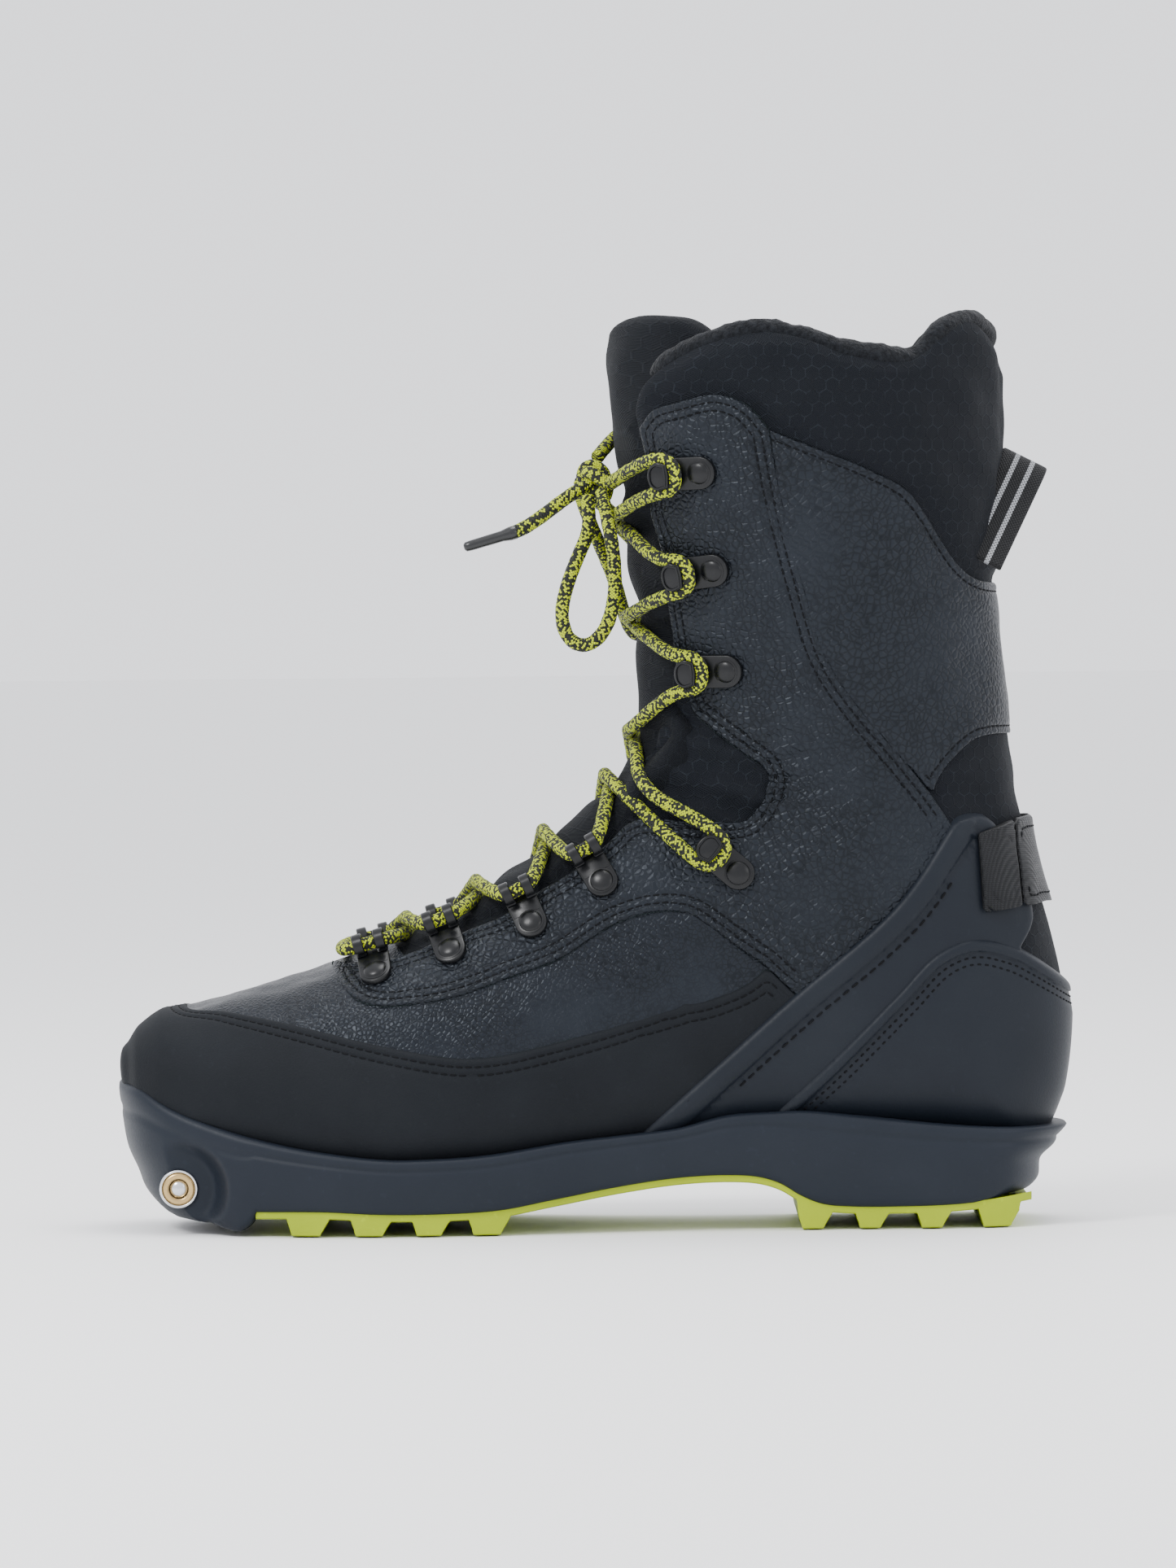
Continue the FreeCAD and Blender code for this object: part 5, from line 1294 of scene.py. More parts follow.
def make_heel_cup():
    edge = CUP_EDGE_FRONT + CUP_EDGE_BACK[1:]
    curves = [CUP_EDGE_FRONT, CUP_EDGE_BACK, [(160.0, 68.0), (165.0, 24.0)], [(165.0, 24.0), (56.8, 24.0)],
              [(56.8, 24.0), (56.8, 36.8)]]
    p = Panel(curves, HEEL_CUP, (0.3, 0.8, 1.5, 2.4, 3.3, 4.0, 5.4, 7.6))
    gap = side_gap(p, edge)
    bead = np.clip(1.0 - ((p.inward - 1.8) / 1.8) ** 2, 0.0, 1.0) ** 0.5 * (gap < 9.0)
    heights = 0.2 + 1.0 * bead + 0.1 * wobble(p.base, 40.0, 31)
    lines = groove(p.inward, 3.9, 0.5, 0.4) + sum(groove(p.inward, row, 0.45, 0.25) for row in CUP_ROWS)
    heights += np.where(gap < CUP_SEAM, lines, 0.0) + edge_round(p.inward, 0.8)
    obj = p.build("heel_cup_skin", heights, 0.6, [MAT["frame"]])
    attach(obj, FOOT)
    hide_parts("heel_cup")
    wanted = near(edge, CUP_SEAM)
    for level in CUP_ROWS:
        stitch_line(p.line(level), 2.5, 0.5, 0.34, wanted=lambda x, z: wanted(x, z) and z > 36.0)


def straight_ring(*corners):
    """A closed outline of straight sides through the corners."""
    return [[a, b] for a, b in zip(corners, corners[1:] + corners[:1])]


def make_straps():
    flap_ring = straight_ring(FLAP_TIP_HIGH, FLAP_TIP_LOW, FLAP_SPLIT_LOW, FLAP_SPLIT_TOP)
    band_ring = straight_ring((FLAP_SPLIT_TOP[0] + FLAP_GAP, 127.2), (FLAP_SPLIT_LOW[0] + FLAP_GAP, 100.3),
                              (139.7, 100.9), (170.0, 104.0), (170.0, 127.0), (139.5, 128.1))
    levels = (0.3, 0.8, 1.5, 2.4, 3.0, 3.6)
    medial_cut = straight_ring(FLAP_TIP_HIGH, FLAP_TIP_LOW, (136.0, 100.4), (134.0, 127.3))
    flap = Panel(flap_ring, STRAP_OUT - 0.3, levels, -1)
    band = Panel(band_ring, STRAP_OUT - 0.3, levels)
    medial = Panel(medial_cut, STRAP_OUT - 0.8, levels, 1)
    for p, name, body, node in ((flap, "strap_end_webbing", "strap_end", "strap_flap"),
                                (band, "strap_back_webbing", FOOT, "strap_band"),
                                (medial, "strap_medial_webbing", FOOT, None)):
        top_low = np.minimum(np.abs(p.base[:, 2] - 99.8), np.abs(p.base[:, 2] - 127.0))
        heights = 0.25 * wobble(p.base, 15.0, 33) + edge_round(p.inward, 0.5)
        heights += groove(p.inward, 3.0, 0.5, 0.2) * (top_low < 6.0)
        obj = p.build(name, heights, STRAP_IN, [MAT["strap"], MAT["strap_edge"]], wall=1, back_side=True)
        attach(obj, body)
        if node:
            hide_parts(node)
        if body == FOOT:
            stitch_line(p.line(3.0), 2.6, 0.7, 0.34, wanted=lambda x, z: z > 121.0 or z < 106.5)


def make_upper():
    make_vamp()
    make_rand()
    make_insert()
    make_leather()
    make_cuff()
    make_achilles()
    make_collar()
    make_lining()
    make_rim()
    make_tongue()
    make_frames()
    make_heel_cup()
    make_straps()
    stitches = build_stitches("seam_stitches", MAT["thread"])
    bend(stitches)

# ---- Sole, tread and toe bar ----
def closed_curve(points, count):
    """Even points round a smooth closed curve."""
    pts = np.asarray(points, float)
    wrapped = np.vstack([pts[-2:], pts, pts[:3]])
    fine = smooth_curve(wrapped, 0.5)
    start = np.argmin(np.linalg.norm(fine - pts[0], axis=1))
    rest = fine[start + 20:]
    end = start + 20 + np.argmin(np.linalg.norm(rest - pts[0], axis=1))
    loop = fine[start:end]
    ring = np.vstack([loop, loop[:1]])
    run = travel(ring)
    spots = np.linspace(0.0, run[-1], count, endpoint=False)
    return np.stack([np.interp(spots, run, ring[:, k]) for k in range(2)], axis=1)


def read_curve(line, value, known, wanted):
    """Coordinate wanted (0 is x, 1 is z) of a side-view curve where coordinate known equals value."""
    fine = smooth_curve(line, 0.4)
    order = np.argsort(fine[:, known])
    return np.interp(value, fine[order, known], fine[order, wanted])


def height_on(line, x):
    """Height of a side-view curve at x."""
    return read_curve(line, x, 0, 1)


NOSE_REACH, TAIL_REACH = -112.0, 118.0
DISH_REACH, DISH_SLOPE, DISH_INNER_Y = 17.0, 6.5, 22.0    # recess round the toe bar's ends
PLAN_LOW_X, PLAN_HIGH_X = -151.8, 146.2


def sole_bottom(x):
    """Height of the underside of the sole unit at x."""
    fore = height_on(SOLE_NOSE[8:], x)
    rest = height_on(SOLE_BOTTOM, x)
    return np.where(x < -107.4, fore, rest)


def make_sole_wall():
    plan = closed_curve(SOLE_PLAN, 640)
    shares = np.concatenate([[0.0, 0.03, 0.07, 0.12], np.linspace(0.16, 0.87, 26), [0.91, 0.95, 0.98, 1.0]])
    normal = np.roll(plan, -1, axis=0) - np.roll(plan, 1, axis=0)
    normal = np.stack([-normal[:, 1], normal[:, 0]], axis=1)
    normal /= np.linalg.norm(normal, axis=1)[:, None]
    if ((plan - plan.mean(axis=0)) * normal).sum() < 0:
        normal = -normal
    rows = []
    top = height_on(SOLE_RIM, plan[:, 0])
    low = sole_bottom(np.clip(plan[:, 0], -135.0, 136.6))
    for share in shares:
        z = top + (low - top) * share
        x, y = plan[:, 0].copy(), plan[:, 1].copy()
        front = x < NOSE_REACH
        squeeze = (x - NOSE_REACH) / (PLAN_LOW_X - NOSE_REACH)
        x = np.where(front, NOSE_REACH + squeeze * (read_curve(SOLE_NOSE[:9], z, 1, 0) - NOSE_REACH), x)
        rear = plan[:, 0] > TAIL_REACH
        squeeze = (plan[:, 0] - TAIL_REACH) / (PLAN_HIGH_X - TAIL_REACH)
        x = np.where(rear, TAIL_REACH + squeeze * (read_curve(SOLE_TAIL, z, 1, 0) - TAIL_REACH), x)
        edge = min(share / 0.07, (1.0 - share) / 0.09, 1.0)
        push = -1.3 * (1.0 - math.sqrt(max(0.0, 1.0 - (1.0 - edge) ** 2)))
        push += 0.55 * math.sin(math.pi * share) - 0.5 * math.exp(-((share - 0.20) / 0.035) ** 2)
        x = x + normal[:, 0] * push
        y = y + normal[:, 1] * push
        # round recess that bares the bar's ends, and the step behind it
        away = np.hypot(x - AXLE_X, z - AXLE_Z)
        dish = np.clip((DISH_REACH - away) / DISH_SLOPE, 0.0, 1.0) * (np.abs(y) > DISH_INNER_Y)
        dish = dish * dish * (3.0 - 2.0 * dish)
        floor_y = np.where(away < 5.3, AXLE_HALF - 3.0, AXLE_HALF - 0.7)
        wide = np.abs(y)
        y = np.where(dish > 0.0, np.sign(y) * (wide * (1.0 - dish) + np.minimum(floor_y, wide) * dish), y)
        rows.append(np.stack([x, y, z], axis=1))
    inner_top = rows[0] - np.column_stack([normal * 6.0, np.zeros(len(plan))])
    middle_low = rows[-1] - np.column_stack([normal * 3.0, np.zeros(len(plan))])
    rows = [inner_top] + rows + [middle_low]
    count = len(plan)
    # the last face joins the two sides straight across the bottom
    faces = grid_faces(len(rows), count) + end_faces(len(rows), count)[1:]
    obj = mesh_from("sole_unit", np.vstack(rows), faces, [MAT["tpu"]])
    set_normals(obj)
    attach(obj, FOOT)
    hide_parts("sole_frame")


LUG_TOP, LUG_FLARE = 5.6, 1.6
LUG_SHARP = 0.6               # radians


def tread_low(x):
    """Lowest height of the tread at x: the sheet, or a lug that reaches the floor."""
    sheet = height_on(SOLE_BOTTOM, x) - TREAD_THICK
    low = sheet.copy()
    for x0, x1 in FORE_LUGS + HEEL_LUGS:
        front = (x - (x0 - LUG_FLARE)) / LUG_FLARE * LUG_TOP
        rear = ((x1 + 2 * LUG_FLARE) - x) / (2 * LUG_FLARE) * LUG_TOP
        block = LUG_TOP - np.clip(np.minimum(front, rear), 0.0, LUG_TOP)
        low = np.where(block < LUG_TOP, np.minimum(low, block), low)
    return low


def make_tread():
    plan = closed_curve(SOLE_PLAN, 600)
    near_side, far_side = plan[plan[:, 1] < 3.0], plan[plan[:, 1] > 3.0]
    order_a, order_b = np.argsort(near_side[:, 0]), np.argsort(far_side[:, 0])
    extra = [x + d for pair in FORE_LUGS + HEEL_LUGS for x in (pair[0] - LUG_FLARE, pair[0], pair[1],
             pair[1] + 2 * LUG_FLARE) for d in (-0.35, 0.0, 0.35)]
    xs = np.unique(np.round(np.concatenate([np.linspace(-107.3, 136.5, 300), extra]), 2))
    xs = xs[(xs >= -107.3) & (xs <= 136.5)]
    y_low = np.interp(xs, near_side[order_a, 0], near_side[order_a, 1]) + 1.3
    y_high = np.interp(xs, far_side[order_b, 0], far_side[order_b, 1]) - 1.3
    low = tread_low(xs)
    low_soft = np.convolve(np.pad(low, 1, mode="edge"), [0.15, 0.7, 0.15], "valid")
    low = np.where(low_soft < 0.03, 0.0, low_soft)
    top = height_on(SOLE_BOTTOM, xs) + 0.4
    shares = np.concatenate([[0.0, 0.006, 0.02], np.linspace(0.06, 0.94, 21), [0.98, 0.994, 1.0]])
    rows = []
    for number, share in enumerate(shares):
        y = y_low + (y_high - y_low) * share
        lift = 0.5 if number in (0, len(shares) - 1) else 0.12 if number in (1, len(shares) - 2) else 0.0
        rows.append(np.stack([xs, y, low + lift], axis=1))
    rows = [np.stack([xs, y_low, top], axis=1)] + rows + [np.stack([xs, y_high, top], axis=1)]
    obj = mesh_from("tread_rubber", np.vstack(rows), grid_faces(len(rows), len(xs), False), [MAT["lime"]])
    set_normals(obj, sharp=LUG_SHARP)
    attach(obj, FOOT)
    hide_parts("tread")


def lathe(profile, sides, spot, axis, name, material):
    """Turned piece: profile of (radius, height) along the axis from the spot."""
    axis = Vector(axis).normalized()
    turn = axis.to_track_quat('Z', 'Y').to_matrix()
    places = []
    for radius, height in profile:
        for k in range(sides):
            angle = 2 * math.pi * k / sides
            local = Vector((radius * math.cos(angle), radius * math.sin(angle), height))
            places.append(tuple(Vector(spot) + turn @ local))
    return mesh_from(name, places, grid_faces(len(profile), sides), [material])


def make_axle():
    for side_name, side in SIDES.items():
        base = (AXLE_X, side * (AXLE_HALF - 4.0), AXLE_Z)
        ring = [(AXLE_R + 0.1, 1.0), (AXLE_R + 0.1, 3.9), (AXLE_R + 0.5, 4.3), (BUSH_R - 0.7, 4.3),
                (BUSH_R - 0.15, 4.05), (BUSH_R, 3.6), (BUSH_R, 0.0)]
        obj = lathe(ring, 48, base, (0, side, 0), "axle_ring_" + side_name, MAT["brass"])
        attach(obj, FOOT)
        lip = [(BUSH_R + 0.1, 0.0), (BUSH_R + 0.1, 4.0), (BUSH_R + 0.6, 4.35), (BUSH_R + 1.0, 4.0),
               (BUSH_R + 1.1, 0.0)]
        obj = lathe(lip, 48, base, (0, side, 0), "axle_lip_" + side_name, MAT["steel"])
        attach(obj, FOOT)
    half = AXLE_HALF
    pin = [(0.01, -half - 0.1), (1.1, -half), (2.1, -half + 0.35), (2.8, -half + 1.0), (3.0, -half + 1.8),
           (3.0, half - 1.8), (2.8, half - 1.0), (2.1, half - 0.35), (1.1, half), (0.01, half + 0.1)]
    obj = lathe(pin, 40, (AXLE_X, 0, AXLE_Z), (0, 1, 0), "toe_bar", MAT["steel"])
    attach(obj, FOOT)
    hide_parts("binding_axle", "axle_bushes")


# ---- Hooks, lace tubes and rivets ----
class Seat:
    """A frame on the last: local X runs toward the tip, local Z points out of the boot."""

    def __init__(self, foot, tip, side):
        x, z = foot
        step = 2.5
        here = side_place(x, z, LEATHER, side)
        along_x = side_place(x + step, z, LEATHER, side) - side_place(x - step, z, LEATHER, side)
        along_z = side_place(x, z + step, LEATHER, side) - side_place(x, z - step, LEATHER, side)
        outward = np.cross(along_z, along_x)
        if outward[1] * side < 0:
            outward = -outward
        outward /= np.linalg.norm(outward)
        aim = side_place(tip[0], tip[1], LEATHER, side) - here
        aim = aim - outward * (aim @ outward)
        aim /= np.linalg.norm(aim)
        self.here, self.axes = here, np.stack([aim, np.cross(outward, aim), outward])

    def at(self, *local):
        return self.here + np.asarray(local, float) @ self.axes


SHARP_EDGE = 0.75             # radians


class Pieces:
    """Collects points and faces of several small parts into one mesh."""

    def __init__(self):
        self.places, self.faces = [], []

    def add(self, places, faces):
        start = len(self.places)
        self.places += [tuple(p) for p in places]
        self.faces += [tuple(start + k for k in face) for face in faces]

    def grid(self, rows, capped=True):
        wide = len(rows[0])
        self.add(np.vstack(rows), grid_faces(len(rows), wide) + (end_faces(len(rows), wide) if capped else []))

    def build(self, name, material, body, slot, *nodes):
        obj = mesh_from(name, self.places, self.faces, [material])
        set_normals(obj, sharp=SHARP_EDGE)
        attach(obj, body)
        if nodes:
            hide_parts(*nodes)
        return obj


def stadium_ring(x0, x1, half, sides=14):
    """Outline with two straight sides and two half-round ends."""
    turn = np.linspace(math.pi / 2, 3 * math.pi / 2, sides)
    left = np.stack([x0 + half * np.cos(turn), half * np.sin(turn)], axis=1)
    turn = np.linspace(-math.pi / 2, math.pi / 2, sides)
    right = np.stack([x1 + half * np.cos(turn), half * np.sin(turn)], axis=1)
    return np.vstack([left, right])


def stacked(seat, outline, steps):
    """Rows of places: the outline at each step's height, drawn in toward its middle by the step's shrink."""
    away = outline - outline.mean(axis=0)
    away /= np.linalg.norm(away, axis=1)[:, None]
    return [np.array([seat.at(x, y, z) for x, y in outline - away * shrink]) for shrink, z in steps]


def soft_plate(pieces, seat, outline, low, high, bevel=0.35):
    """A flat plate with a rounded upper edge."""
    steps = ((0.0, low), (0.0, high - bevel), (bevel * 0.4, high - bevel * 0.3), (bevel, high))
    pieces.grid(stacked(seat, outline, steps))


def turned(pieces, seat, x, y, profile, sides=28):
    """A turned solid standing on a seat."""
    rows = []
    for radius, z in profile:
        turn = np.arange(sides) * 2 * math.pi / sides
        rows.append(np.array([seat.at(x + radius * math.cos(t), y + radius * math.sin(t), z) for t in turn]))
    pieces.grid(rows)


def dome_profile(radius, low, tall):
    """Profile of a low dome with a short straight side."""
    turns = np.linspace(0.0, math.pi / 2 - 0.06, 8)
    return [(radius, low)] + [(radius * math.cos(t), low + 0.25 + (tall - 0.25) * math.sin(t)) for t in turns]


def make_rivet(seat, radius, name, body, *nodes):
    pieces = Pieces()
    top = PLATE_LIFT + PLATE_THICK
    turned(pieces, seat, 0.0, 0.0, dome_profile(radius, top - 0.1, 1.6))
    washer = [(radius + 0.5, top - 0.2), (radius + 0.5, top + 0.15), (radius - 0.2, top + 0.32)]
    turned(pieces, seat, 0.0, 0.0, washer)
    return pieces.build(name, MAT["black"], body, "black_metal", *nodes)


def make_hook(seat, name, body, node):
    pieces = Pieces()
    top = PLATE_LIFT + PLATE_THICK
    plate = stadium_ring(0.0, HOOK_REACH, 5.2)
    soft_plate(pieces, seat, plate, 0.1, top)
    neck_x = HOOK_REACH + 1.2
    tall = top + NECK_TALL - 0.6
    neck = [(NECK_R + 1.0, top - 0.1), (NECK_R + 0.35, top + 0.4), (NECK_R, top + 1.1), (NECK_R, tall - 0.8),
            (NECK_R + 0.5, tall)]
    turned(pieces, seat, neck_x, 0.0, neck, 24)
    # D-shaped head that reaches back over the plate
    turn = np.linspace(-math.pi * 0.5, math.pi * 0.5, 22)
    head = np.stack([HOOK_REACH + 0.6 + 4.0 * np.cos(turn), 4.6 * np.sin(turn)], axis=1)
    head = np.vstack([head, [(HOOK_REACH - 2.2, 3.6), (HOOK_REACH - 2.6, 0.0), (HOOK_REACH - 2.2, -3.6)]])
    soft_plate(pieces, seat, head, tall - 0.3, tall + 1.2, 0.5)
    # raised rim round the head leaves a shallow slot in its face
    rim = [(shrink, tall + z) for shrink, z in ((0.45, 1.15), (0.6, 1.55), (1.15, 1.55), (1.35, 1.15))]
    pieces.grid(stacked(seat, head, rim), capped=False)
    pieces.build(name, MAT["black"], body, "black_metal", node)


def make_loop(seat, name, node):
    pieces = Pieces()
    top = PLATE_LIFT + PLATE_THICK
    soft_plate(pieces, seat, stadium_ring(0.0, CHANNEL_X - 3.0, 5.1), 0.1, top)
    wall = 1.15
    outer_r, inner_r = CHANNEL_R + wall, CHANNEL_R
    half = CHANNEL_LONG / 2
    # two legs of a rolled sheet with a window between them
    for y0, y1 in ((-half, -1.9), (1.9, half)):
        rows = []
        for turn in np.linspace(-2.62, 2.62 + 0.55, 34):
            c, s = math.cos(turn), math.sin(turn)
            ring = []
            for r, y in ((outer_r, y0 + 0.3), (outer_r - 0.3, y0), (inner_r, y0), (inner_r, y1),
                         (outer_r - 0.3, y1), (outer_r, y1 - 0.3)):
                ring.append(seat.at(CHANNEL_X + r * c, y, CHANNEL_Z + r * s))
            rows.append(np.array(ring))
        pieces.grid(rows)
    bridge = np.array([(3.0, -half + 0.4), (CHANNEL_X - 2.5, -half + 0.1), (CHANNEL_X - 2.5, half - 0.1),
                       (3.0, half - 0.4)])
    soft_plate(pieces, seat, bridge, 0.2, top + 0.1)
    pieces.build(name, MAT["black"], FOOT, "black_metal", node)


def loop_seat(number, side):
    """The seat of one lace tube."""
    foot, tip = LACE_LOOPS[number]
    toward = (foot[0] + 0.35 * (tip[0] - foot[0]), foot[1] + 0.35 * (tip[1] - foot[1]))
    return Seat(foot, toward, side)


def make_hardware():
    for side_name, side in SIDES.items():
        for number in range(len(LACE_LOOPS)):
            seat = loop_seat(number, side)
            place = "%s_%d" % (side_name, number + 1)
            make_loop(seat, "lace_tube_" + place, "lace_loop_" + place)
            nodes = ("lower_rivets",) if side < 0 and number == 0 else ()
            make_rivet(seat, 3.7, "tube_rivet_" + place, FOOT, *nodes)
        for number, (foot, tip) in enumerate(UPPER_HOOKS, 1):
            seat = Seat(foot, tip, side)
            place = "%s_%d" % (side_name, number)
            make_hook(seat, "speed_hook_" + place, SHAFT, "upper_hook_" + place)
            nodes = ("upper_rivets",) if side < 0 and number == 1 else ()
            make_rivet(seat, 3.5, "hook_rivet_" + place, SHAFT, *nodes)
        foot, tip = ANKLE_HOOK
        seat = Seat(foot, tip, side)
        make_hook(seat, "ankle_speed_hook_" + side_name, FOOT, "ankle_hook_" + side_name)
        make_rivet(seat, 3.8, "ankle_rivet_" + side_name, FOOT)


# ---- Laces ----
def spline_points(name, points):
    """A NURBS spline through space whose control points are the route, and the places read along it."""
    curve = bpy.data.curves.new(name, 'CURVE')
    curve.dimensions = '3D'
    curve.resolution_u = 14
    spline = curve.splines.new('NURBS')
    spline.points.add(len(points) - 1)
    for point, place in zip(spline.points, points):
        point.co = (place[0] * MM, place[1] * MM, place[2] * MM, 1.0)
    spline.order_u = 3
    spline.use_endpoint_u = True
    holder = bpy.data.objects.new(name, curve)
    bpy.context.collection.objects.link(holder)
    bpy.context.view_layer.update()
    mesh = bpy.data.meshes.new_from_object(holder.evaluated_get(bpy.context.evaluated_depsgraph_get()))
    places = np.array([tuple(v.co) for v in mesh.vertices]) / MM
    bpy.data.meshes.remove(mesh)
    bpy.data.objects.remove(holder)
    bpy.data.curves.remove(curve)
    return places


LACE_STEP, LACE_SIDES, BRAID_RELIEF = 0.8, 20, 0.11


def lace_tube(name, line, radius=LACE_R):
    """A braided lace along a line, with lengthwise and round-the-lace texture coordinates."""
    fine = resample(line, LACE_STEP)
    fine = np.vstack([fine, line[-1:]]) if np.linalg.norm(fine[-1] - line[-1]) > 0.2 else fine
    smooth = fine.copy()
    for _ in range(2):
        smooth[1:-1] = 0.25 * smooth[:-2] + 0.5 * smooth[1:-1] + 0.25 * smooth[2:]
    sides = LACE_SIDES
    points, _ = ring_tube(smooth, radius, sides)
    count = len(smooth)
    rings = points.reshape(count, sides, 3)
    along = travel(smooth)
    # braid relief: strands slanting both ways round the lace
    turn = np.arange(sides) / sides
    u = along[:, None] * BRAID_ROUND / BRAID_PITCH_MM
    v = turn[None, :] * BRAID_ROUND
    relief = BRAID_RELIEF * (np.abs(np.sin(math.pi * (u + v))) + np.abs(np.sin(math.pi * (u - v))) - 1.2)
    rings = rings + (rings - smooth[:, None, :]) / radius * relief[:, :, None]
    rings = np.concatenate([rings, rings[:, :1]], axis=1)
    wide = sides + 1
    uv = np.stack([np.repeat(along * MM, wide), np.tile(np.arange(wide) / sides, count)], axis=1)
    faces = grid_faces(count, wide, False) + end_faces(count, wide, sides)
    obj = mesh_from(name, rings.reshape(-1, 3), faces, [MAT["lace"]], uv=uv)
    return obj, smooth


def centre_place(value, upright):
    """The place on the last whose front or top line reaches a height, or an x when not upright."""
    def measure(place):
        return surface(place, 0.0, 0.0)[0][2 if upright else 0]
    low, high = 0.0, len(TABLE) - 1.0
    for _ in range(30):
        middle = 0.5 * (low + high)
        low, high = (middle, high) if measure(middle) < value else (low, middle)
    return low


TONGUE_CLEAR = TONGUE_OUT + LACE_R + 2.9
OVER_CLEAR = TONGUE_CLEAR + 2 * LACE_R + 0.7
CROSS_X = [-60.0, -37.5, -15.5]
CROSS_Z = [138.0, 152.5, 189.5, 221.0]


def centre_point(value, upright, out, y=0.0):
    """A point above the front or top line, y millimetres to the side."""
    place = centre_place(value, upright)
    row = station_rows(np.array([place]))[0]
    angle = math.asin(min(1.0, (abs(y) / row[4]) ** (row[7] / 2.0)))
    return surface(place, math.copysign(angle, -y), out)[0]


def channel_ends(number, side):
    """Both ends of the bore of a lace tube, toe end first."""
    seat = loop_seat(number, side)
    ends = [seat.at(CHANNEL_X, y, CHANNEL_Z) for y in (-CHANNEL_LONG * 0.5, CHANNEL_LONG * 0.5)]
    return sorted(ends, key=lambda place: place[0])


def round_neck(foot, tip, side):
    """Four places that lead a lace round the neck of a hook."""
    seat = Seat(foot, tip, side)
    reach, height = NECK_R + LACE_R + 0.9, PLATE_LIFT + PLATE_THICK + LACE_R + 0.45
    neck_x = HOOK_REACH + 1.2
    places = [seat.at(neck_x + dx, dy, height) for dx, dy in
              ((5.5, -reach - 0.6), (-reach, -reach), (-reach, reach), (5.5, reach + 0.6))]
    return places if places[0][2] < places[3][2] else places[::-1]


def crossing(value, upright, over, side):
    """Two places where a lace crosses the tongue, over or under the other half."""
    out = OVER_CLEAR if over else TONGUE_CLEAR
    return [centre_point(value, upright, out + 0.3, y) for y in (side * 9.0, -side * 9.0)]


def held_routes():
    """The two laced halves, each from the first lace tube up to the knot."""
    routes = []
    for start_side in (-1, 1):
        side, over = start_side, start_side > 0
        route = [] if over else [centre_point(-80.5, False, TONGUE_CLEAR + 6.0, y) for y in (16.0, -16.0)]
        for number in range(len(LACE_LOOPS)):
            toe_end, heel_end = channel_ends(number, side)
            route += [toe_end, 0.5 * (toe_end + heel_end), heel_end]
            if number < len(CROSS_X):
                route += crossing(CROSS_X[number], False, over, side)
                side, over = -side, not over
        route += crossing(CROSS_Z[0], True, over, side)
        side, over = -side, not over
        route += round_neck(*ANKLE_HOOK, side)
        route.append(centre_point(146.5, True, LEATHER + LACE_R + 2.0, side * 22.0))
        if start_side < 0:
            route = [channel_ends(0, 1)[0]] + route
        route += crossing(CROSS_Z[1], True, over, side)
        side, over = -side, not over
        for index, hook in enumerate(reversed(UPPER_HOOKS)):
            route += round_neck(hook[0], hook[1], side)
            if index < 2:
                route += crossing(CROSS_Z[2 + index], True, over, side)
                side, over = -side, not over
        route.append(np.array(KNOT) + (4.5, side * 6.5, -1.0))
        routes.append(route)
    return routes


AGLET_PROFILE = [(0.01, 0.0), (1.9, 0.05), (2.25, 0.5), (2.2, 2.5), (1.75, 5.0), (1.65, 15.5), (1.5, 17.0),
                 (0.9, 17.6), (0.01, 17.7)]


def make_laces():
    for number, route in enumerate(held_routes(), 1):
        line = spline_points("lace_half_%d" % number, route)
        obj, _ = lace_tube("lace_half_%d" % number, line)
        bend(obj, "lace_lower", "lace_upper")
    # the knot: the lace wraps round itself twice
    kx, ky, kz = KNOT
    turn = np.linspace(0.0, 2 * math.pi, 40)
    wrap = np.stack([kx - 0.6 + 3.6 * np.cos(turn + 0.6), ky + 1.0 + 2.6 * np.sin(turn),
                     kz + 4.4 * np.sin(turn + 0.4) + 0.4], axis=1)
    obj, _ = lace_tube("knot_wrap", wrap)
    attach(obj, SHAFT)
    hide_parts("bow_knot")
    cross = [(kx + 5.0, ky - 6.0, kz - 2.5), (kx - 1.5, ky - 3.5, kz + 3.2), (kx - 3.6, ky + 1.5, kz + 2.0),
             (kx - 1.0, ky + 5.5, kz - 2.6), (kx + 5.0, ky + 6.5, kz - 4.0)]
    obj, _ = lace_tube("knot_cross", spline_points("knot_cross", cross))
    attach(obj, SHAFT)
    for name, points, node, lay in (("bow_near", BOW_LOOP_NEAR, "bow_loop_near", "hanging"),
                                    ("bow_far", BOW_LOOP_FAR, "bow_loop_far", "hanging")):
        line = spline_points(name, points)
        obj, path = lace_tube(name, line)
        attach(obj, SHAFT)
        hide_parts(node)
    for name, points, tip, node in (("tail_near", TAIL_NEAR, TAIL_NEAR_TIP, "lace_tail_near"),
                                    ("tail_far", TAIL_FAR, TAIL_FAR_TIP, "lace_tail_far")):
        start, end = np.array(points[-1]), np.array(tip)
        ahead = (end - start) / np.linalg.norm(end - start)
        root = [tuple(KNOT)] if name == "tail_near" else []
        line = spline_points(name, root + list(points) + [tuple(start + ahead * 3.5)])
        obj, path = lace_tube(name, line)
        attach(obj, SHAFT)
        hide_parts(node)
        first = start + ahead * 1.2
        tag = lathe(AGLET_PROFILE, 24, tuple(first), tuple(ahead), name + "_aglet", MAT["aglet"])
        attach(tag, SHAFT)
        if name == "tail_near":
            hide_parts("aglets")


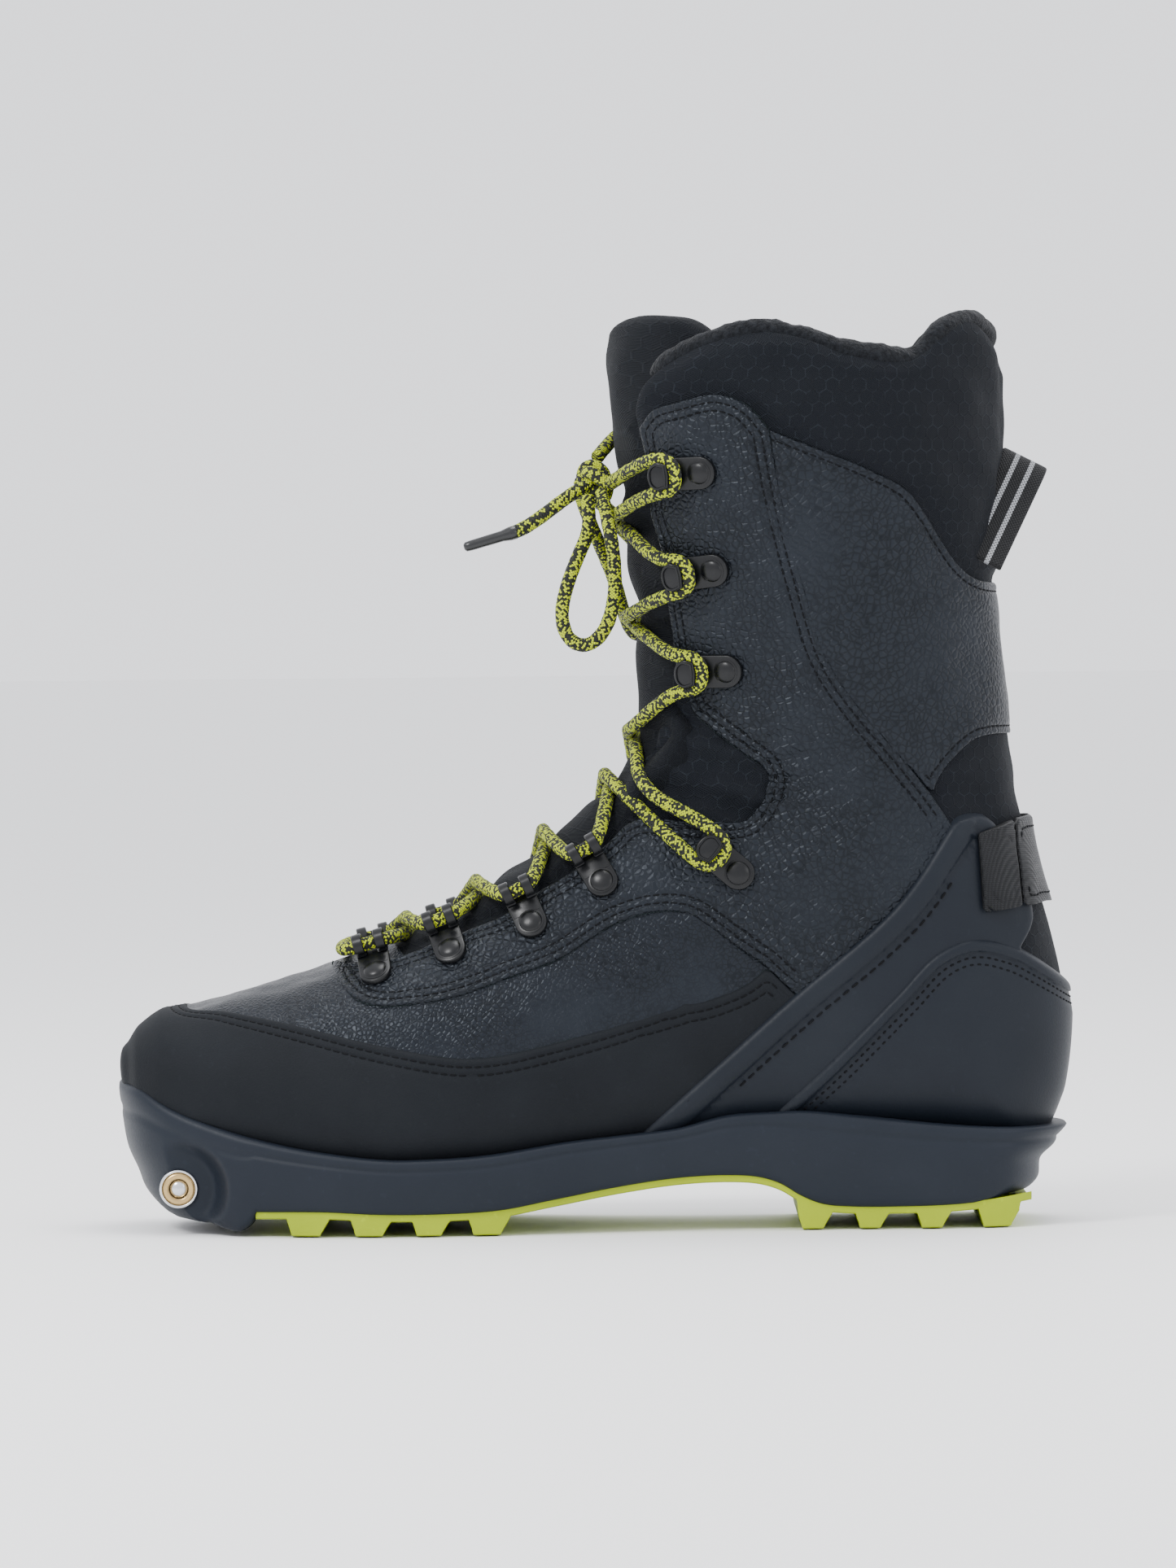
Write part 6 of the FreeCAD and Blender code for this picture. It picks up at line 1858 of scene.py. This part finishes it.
# ---- Pull loop: two webbing legs that meet in a fold at the top ----
def make_pull_loop():
    up = np.array([math.sin(LOOP_LEAN), 0.0, math.cos(LOOP_LEAN)])
    wide = np.array([math.cos(LOOP_LEAN), 0.0, -math.sin(LOOP_LEAN)]) * WEB_WIDE
    path = [(-24.0, 0.5), (-17.0, 13.0), (-10.5, 25.0), (-7.0, 31.5), (-3.4, 34.9), (0.0, 35.6), (3.4, 34.9),
            (7.0, 31.5), (10.5, 25.0), (17.0, 13.0), (24.0, 0.5)]
    path = smooth_curve(path, 1.0)
    line = resample(np.column_stack([path, np.zeros(len(path))]), 0.9)[:, :2]
    step = np.gradient(line, axis=0)
    step /= np.linalg.norm(step, axis=1)[:, None]
    side = np.stack([-step[:, 1], step[:, 0]], axis=1)
    along = travel(line)
    profile = [(-0.5, 0.0), (-0.49, 0.6), (-0.46, 0.85)] + [(s, 0.9) for s in np.linspace(-0.42, 0.42, 12)] + [
        (0.46, 0.85), (0.49, 0.6), (0.5, 0.0), (0.49, -0.6), (0.46, -0.85)] + [
        (s, -0.9) for s in np.linspace(0.42, -0.42, 12)] + [(-0.46, -0.85), (-0.49, -0.6)]
    places, uv = [], []
    count = len(profile)
    for k in range(len(line)):
        twist = 0.6 * math.sin(along[k] / along[-1] * math.pi * 2.0)
        for share, off in profile:
            flat = line[k] + side[k] * off
            places.append(np.array(LOOP_FOOT) + np.array([0.0, flat[0], 0.0]) + up * (flat[1] + twist * share)
                          + wide * share)
            uv.append((along[k] * MM, share))
    faces = grid_faces(len(line), count) + end_faces(len(line), count)
    obj = mesh_from("pull_loop_webbing", places, faces, [MAT["webbing"]], uv=uv)
    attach(obj, "loop")
    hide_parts("pull_loop")


# ---- Floor, light and world ----
FLOOR_REACH, FLOOR_LOW = 30.0, -0.0004        # metres
WORLD_COLOUR, WORLD_STRENGTH = (0.95, 0.96, 1.0, 1.0), 1.75
# name, place and size in metres, watts, the spot it faces
LIGHTS = [("key", (-1.1, -1.1, 1.5), 0.6, 30.0, (0.0, 0.0, 0.14)),
          ("fill", (1.5, -1.3, 0.9), 0.8, 6.0, (0.0, 0.0, 0.12)),
          ("top", (0.2, 0.1, 1.7), 0.9, 16.0, (0.0, 0.0, 0.1))]


def make_stage():
    s = Shader("pale_floor", (0.93, 0.93, 0.93), rough=0.6, spec=0.25)
    places = [(x, y, FLOOR_LOW) for y in (-FLOOR_REACH, 0.0, FLOOR_REACH) for x in (-FLOOR_REACH, FLOOR_REACH)]
    faces = [(0, 1, 3, 2), (2, 3, 5, 4)]
    floor = mesh_from("studio_floor", np.array(places) / MM, faces, [s.material])
    world = bpy.data.worlds.new("studio")
    bpy.context.scene.world = world
    world.use_nodes = True
    back_node = world.node_tree.nodes["Background"]
    back_node.inputs["Color"].default_value = WORLD_COLOUR
    back_node.inputs["Strength"].default_value = WORLD_STRENGTH
    for name, place, size, power, aim in LIGHTS:
        data = bpy.data.lights.new(name, 'AREA')
        data.shape = 'DISK'
        data.size = size
        data.energy = power
        lamp = bpy.data.objects.new(name, data)
        bpy.context.collection.objects.link(lamp)
        lamp.location = place
        lamp.rotation_euler = (Vector(aim) - Vector(place)).to_track_quat('-Z', 'Y').to_euler()


def cad_finish():
    """Materials for the sealed inner parts that no piece replaces."""
    table = {"footbed": "fleece", "shank": "tpu", "strap_hook_patch": "strap"}
    for node, key in table.items():
        obj = bpy.data.objects.get(node)
        if obj is not None and obj.type == 'MESH':
            obj.data.materials.clear()
            obj.data.materials.append(MAT[key])


def write_size():
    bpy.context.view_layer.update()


make_laces()
make_hardware()
make_sole_wall()
make_tread()
make_axle()
make_upper()
make_pull_loop()
cad_finish()
make_stage()
write_size()
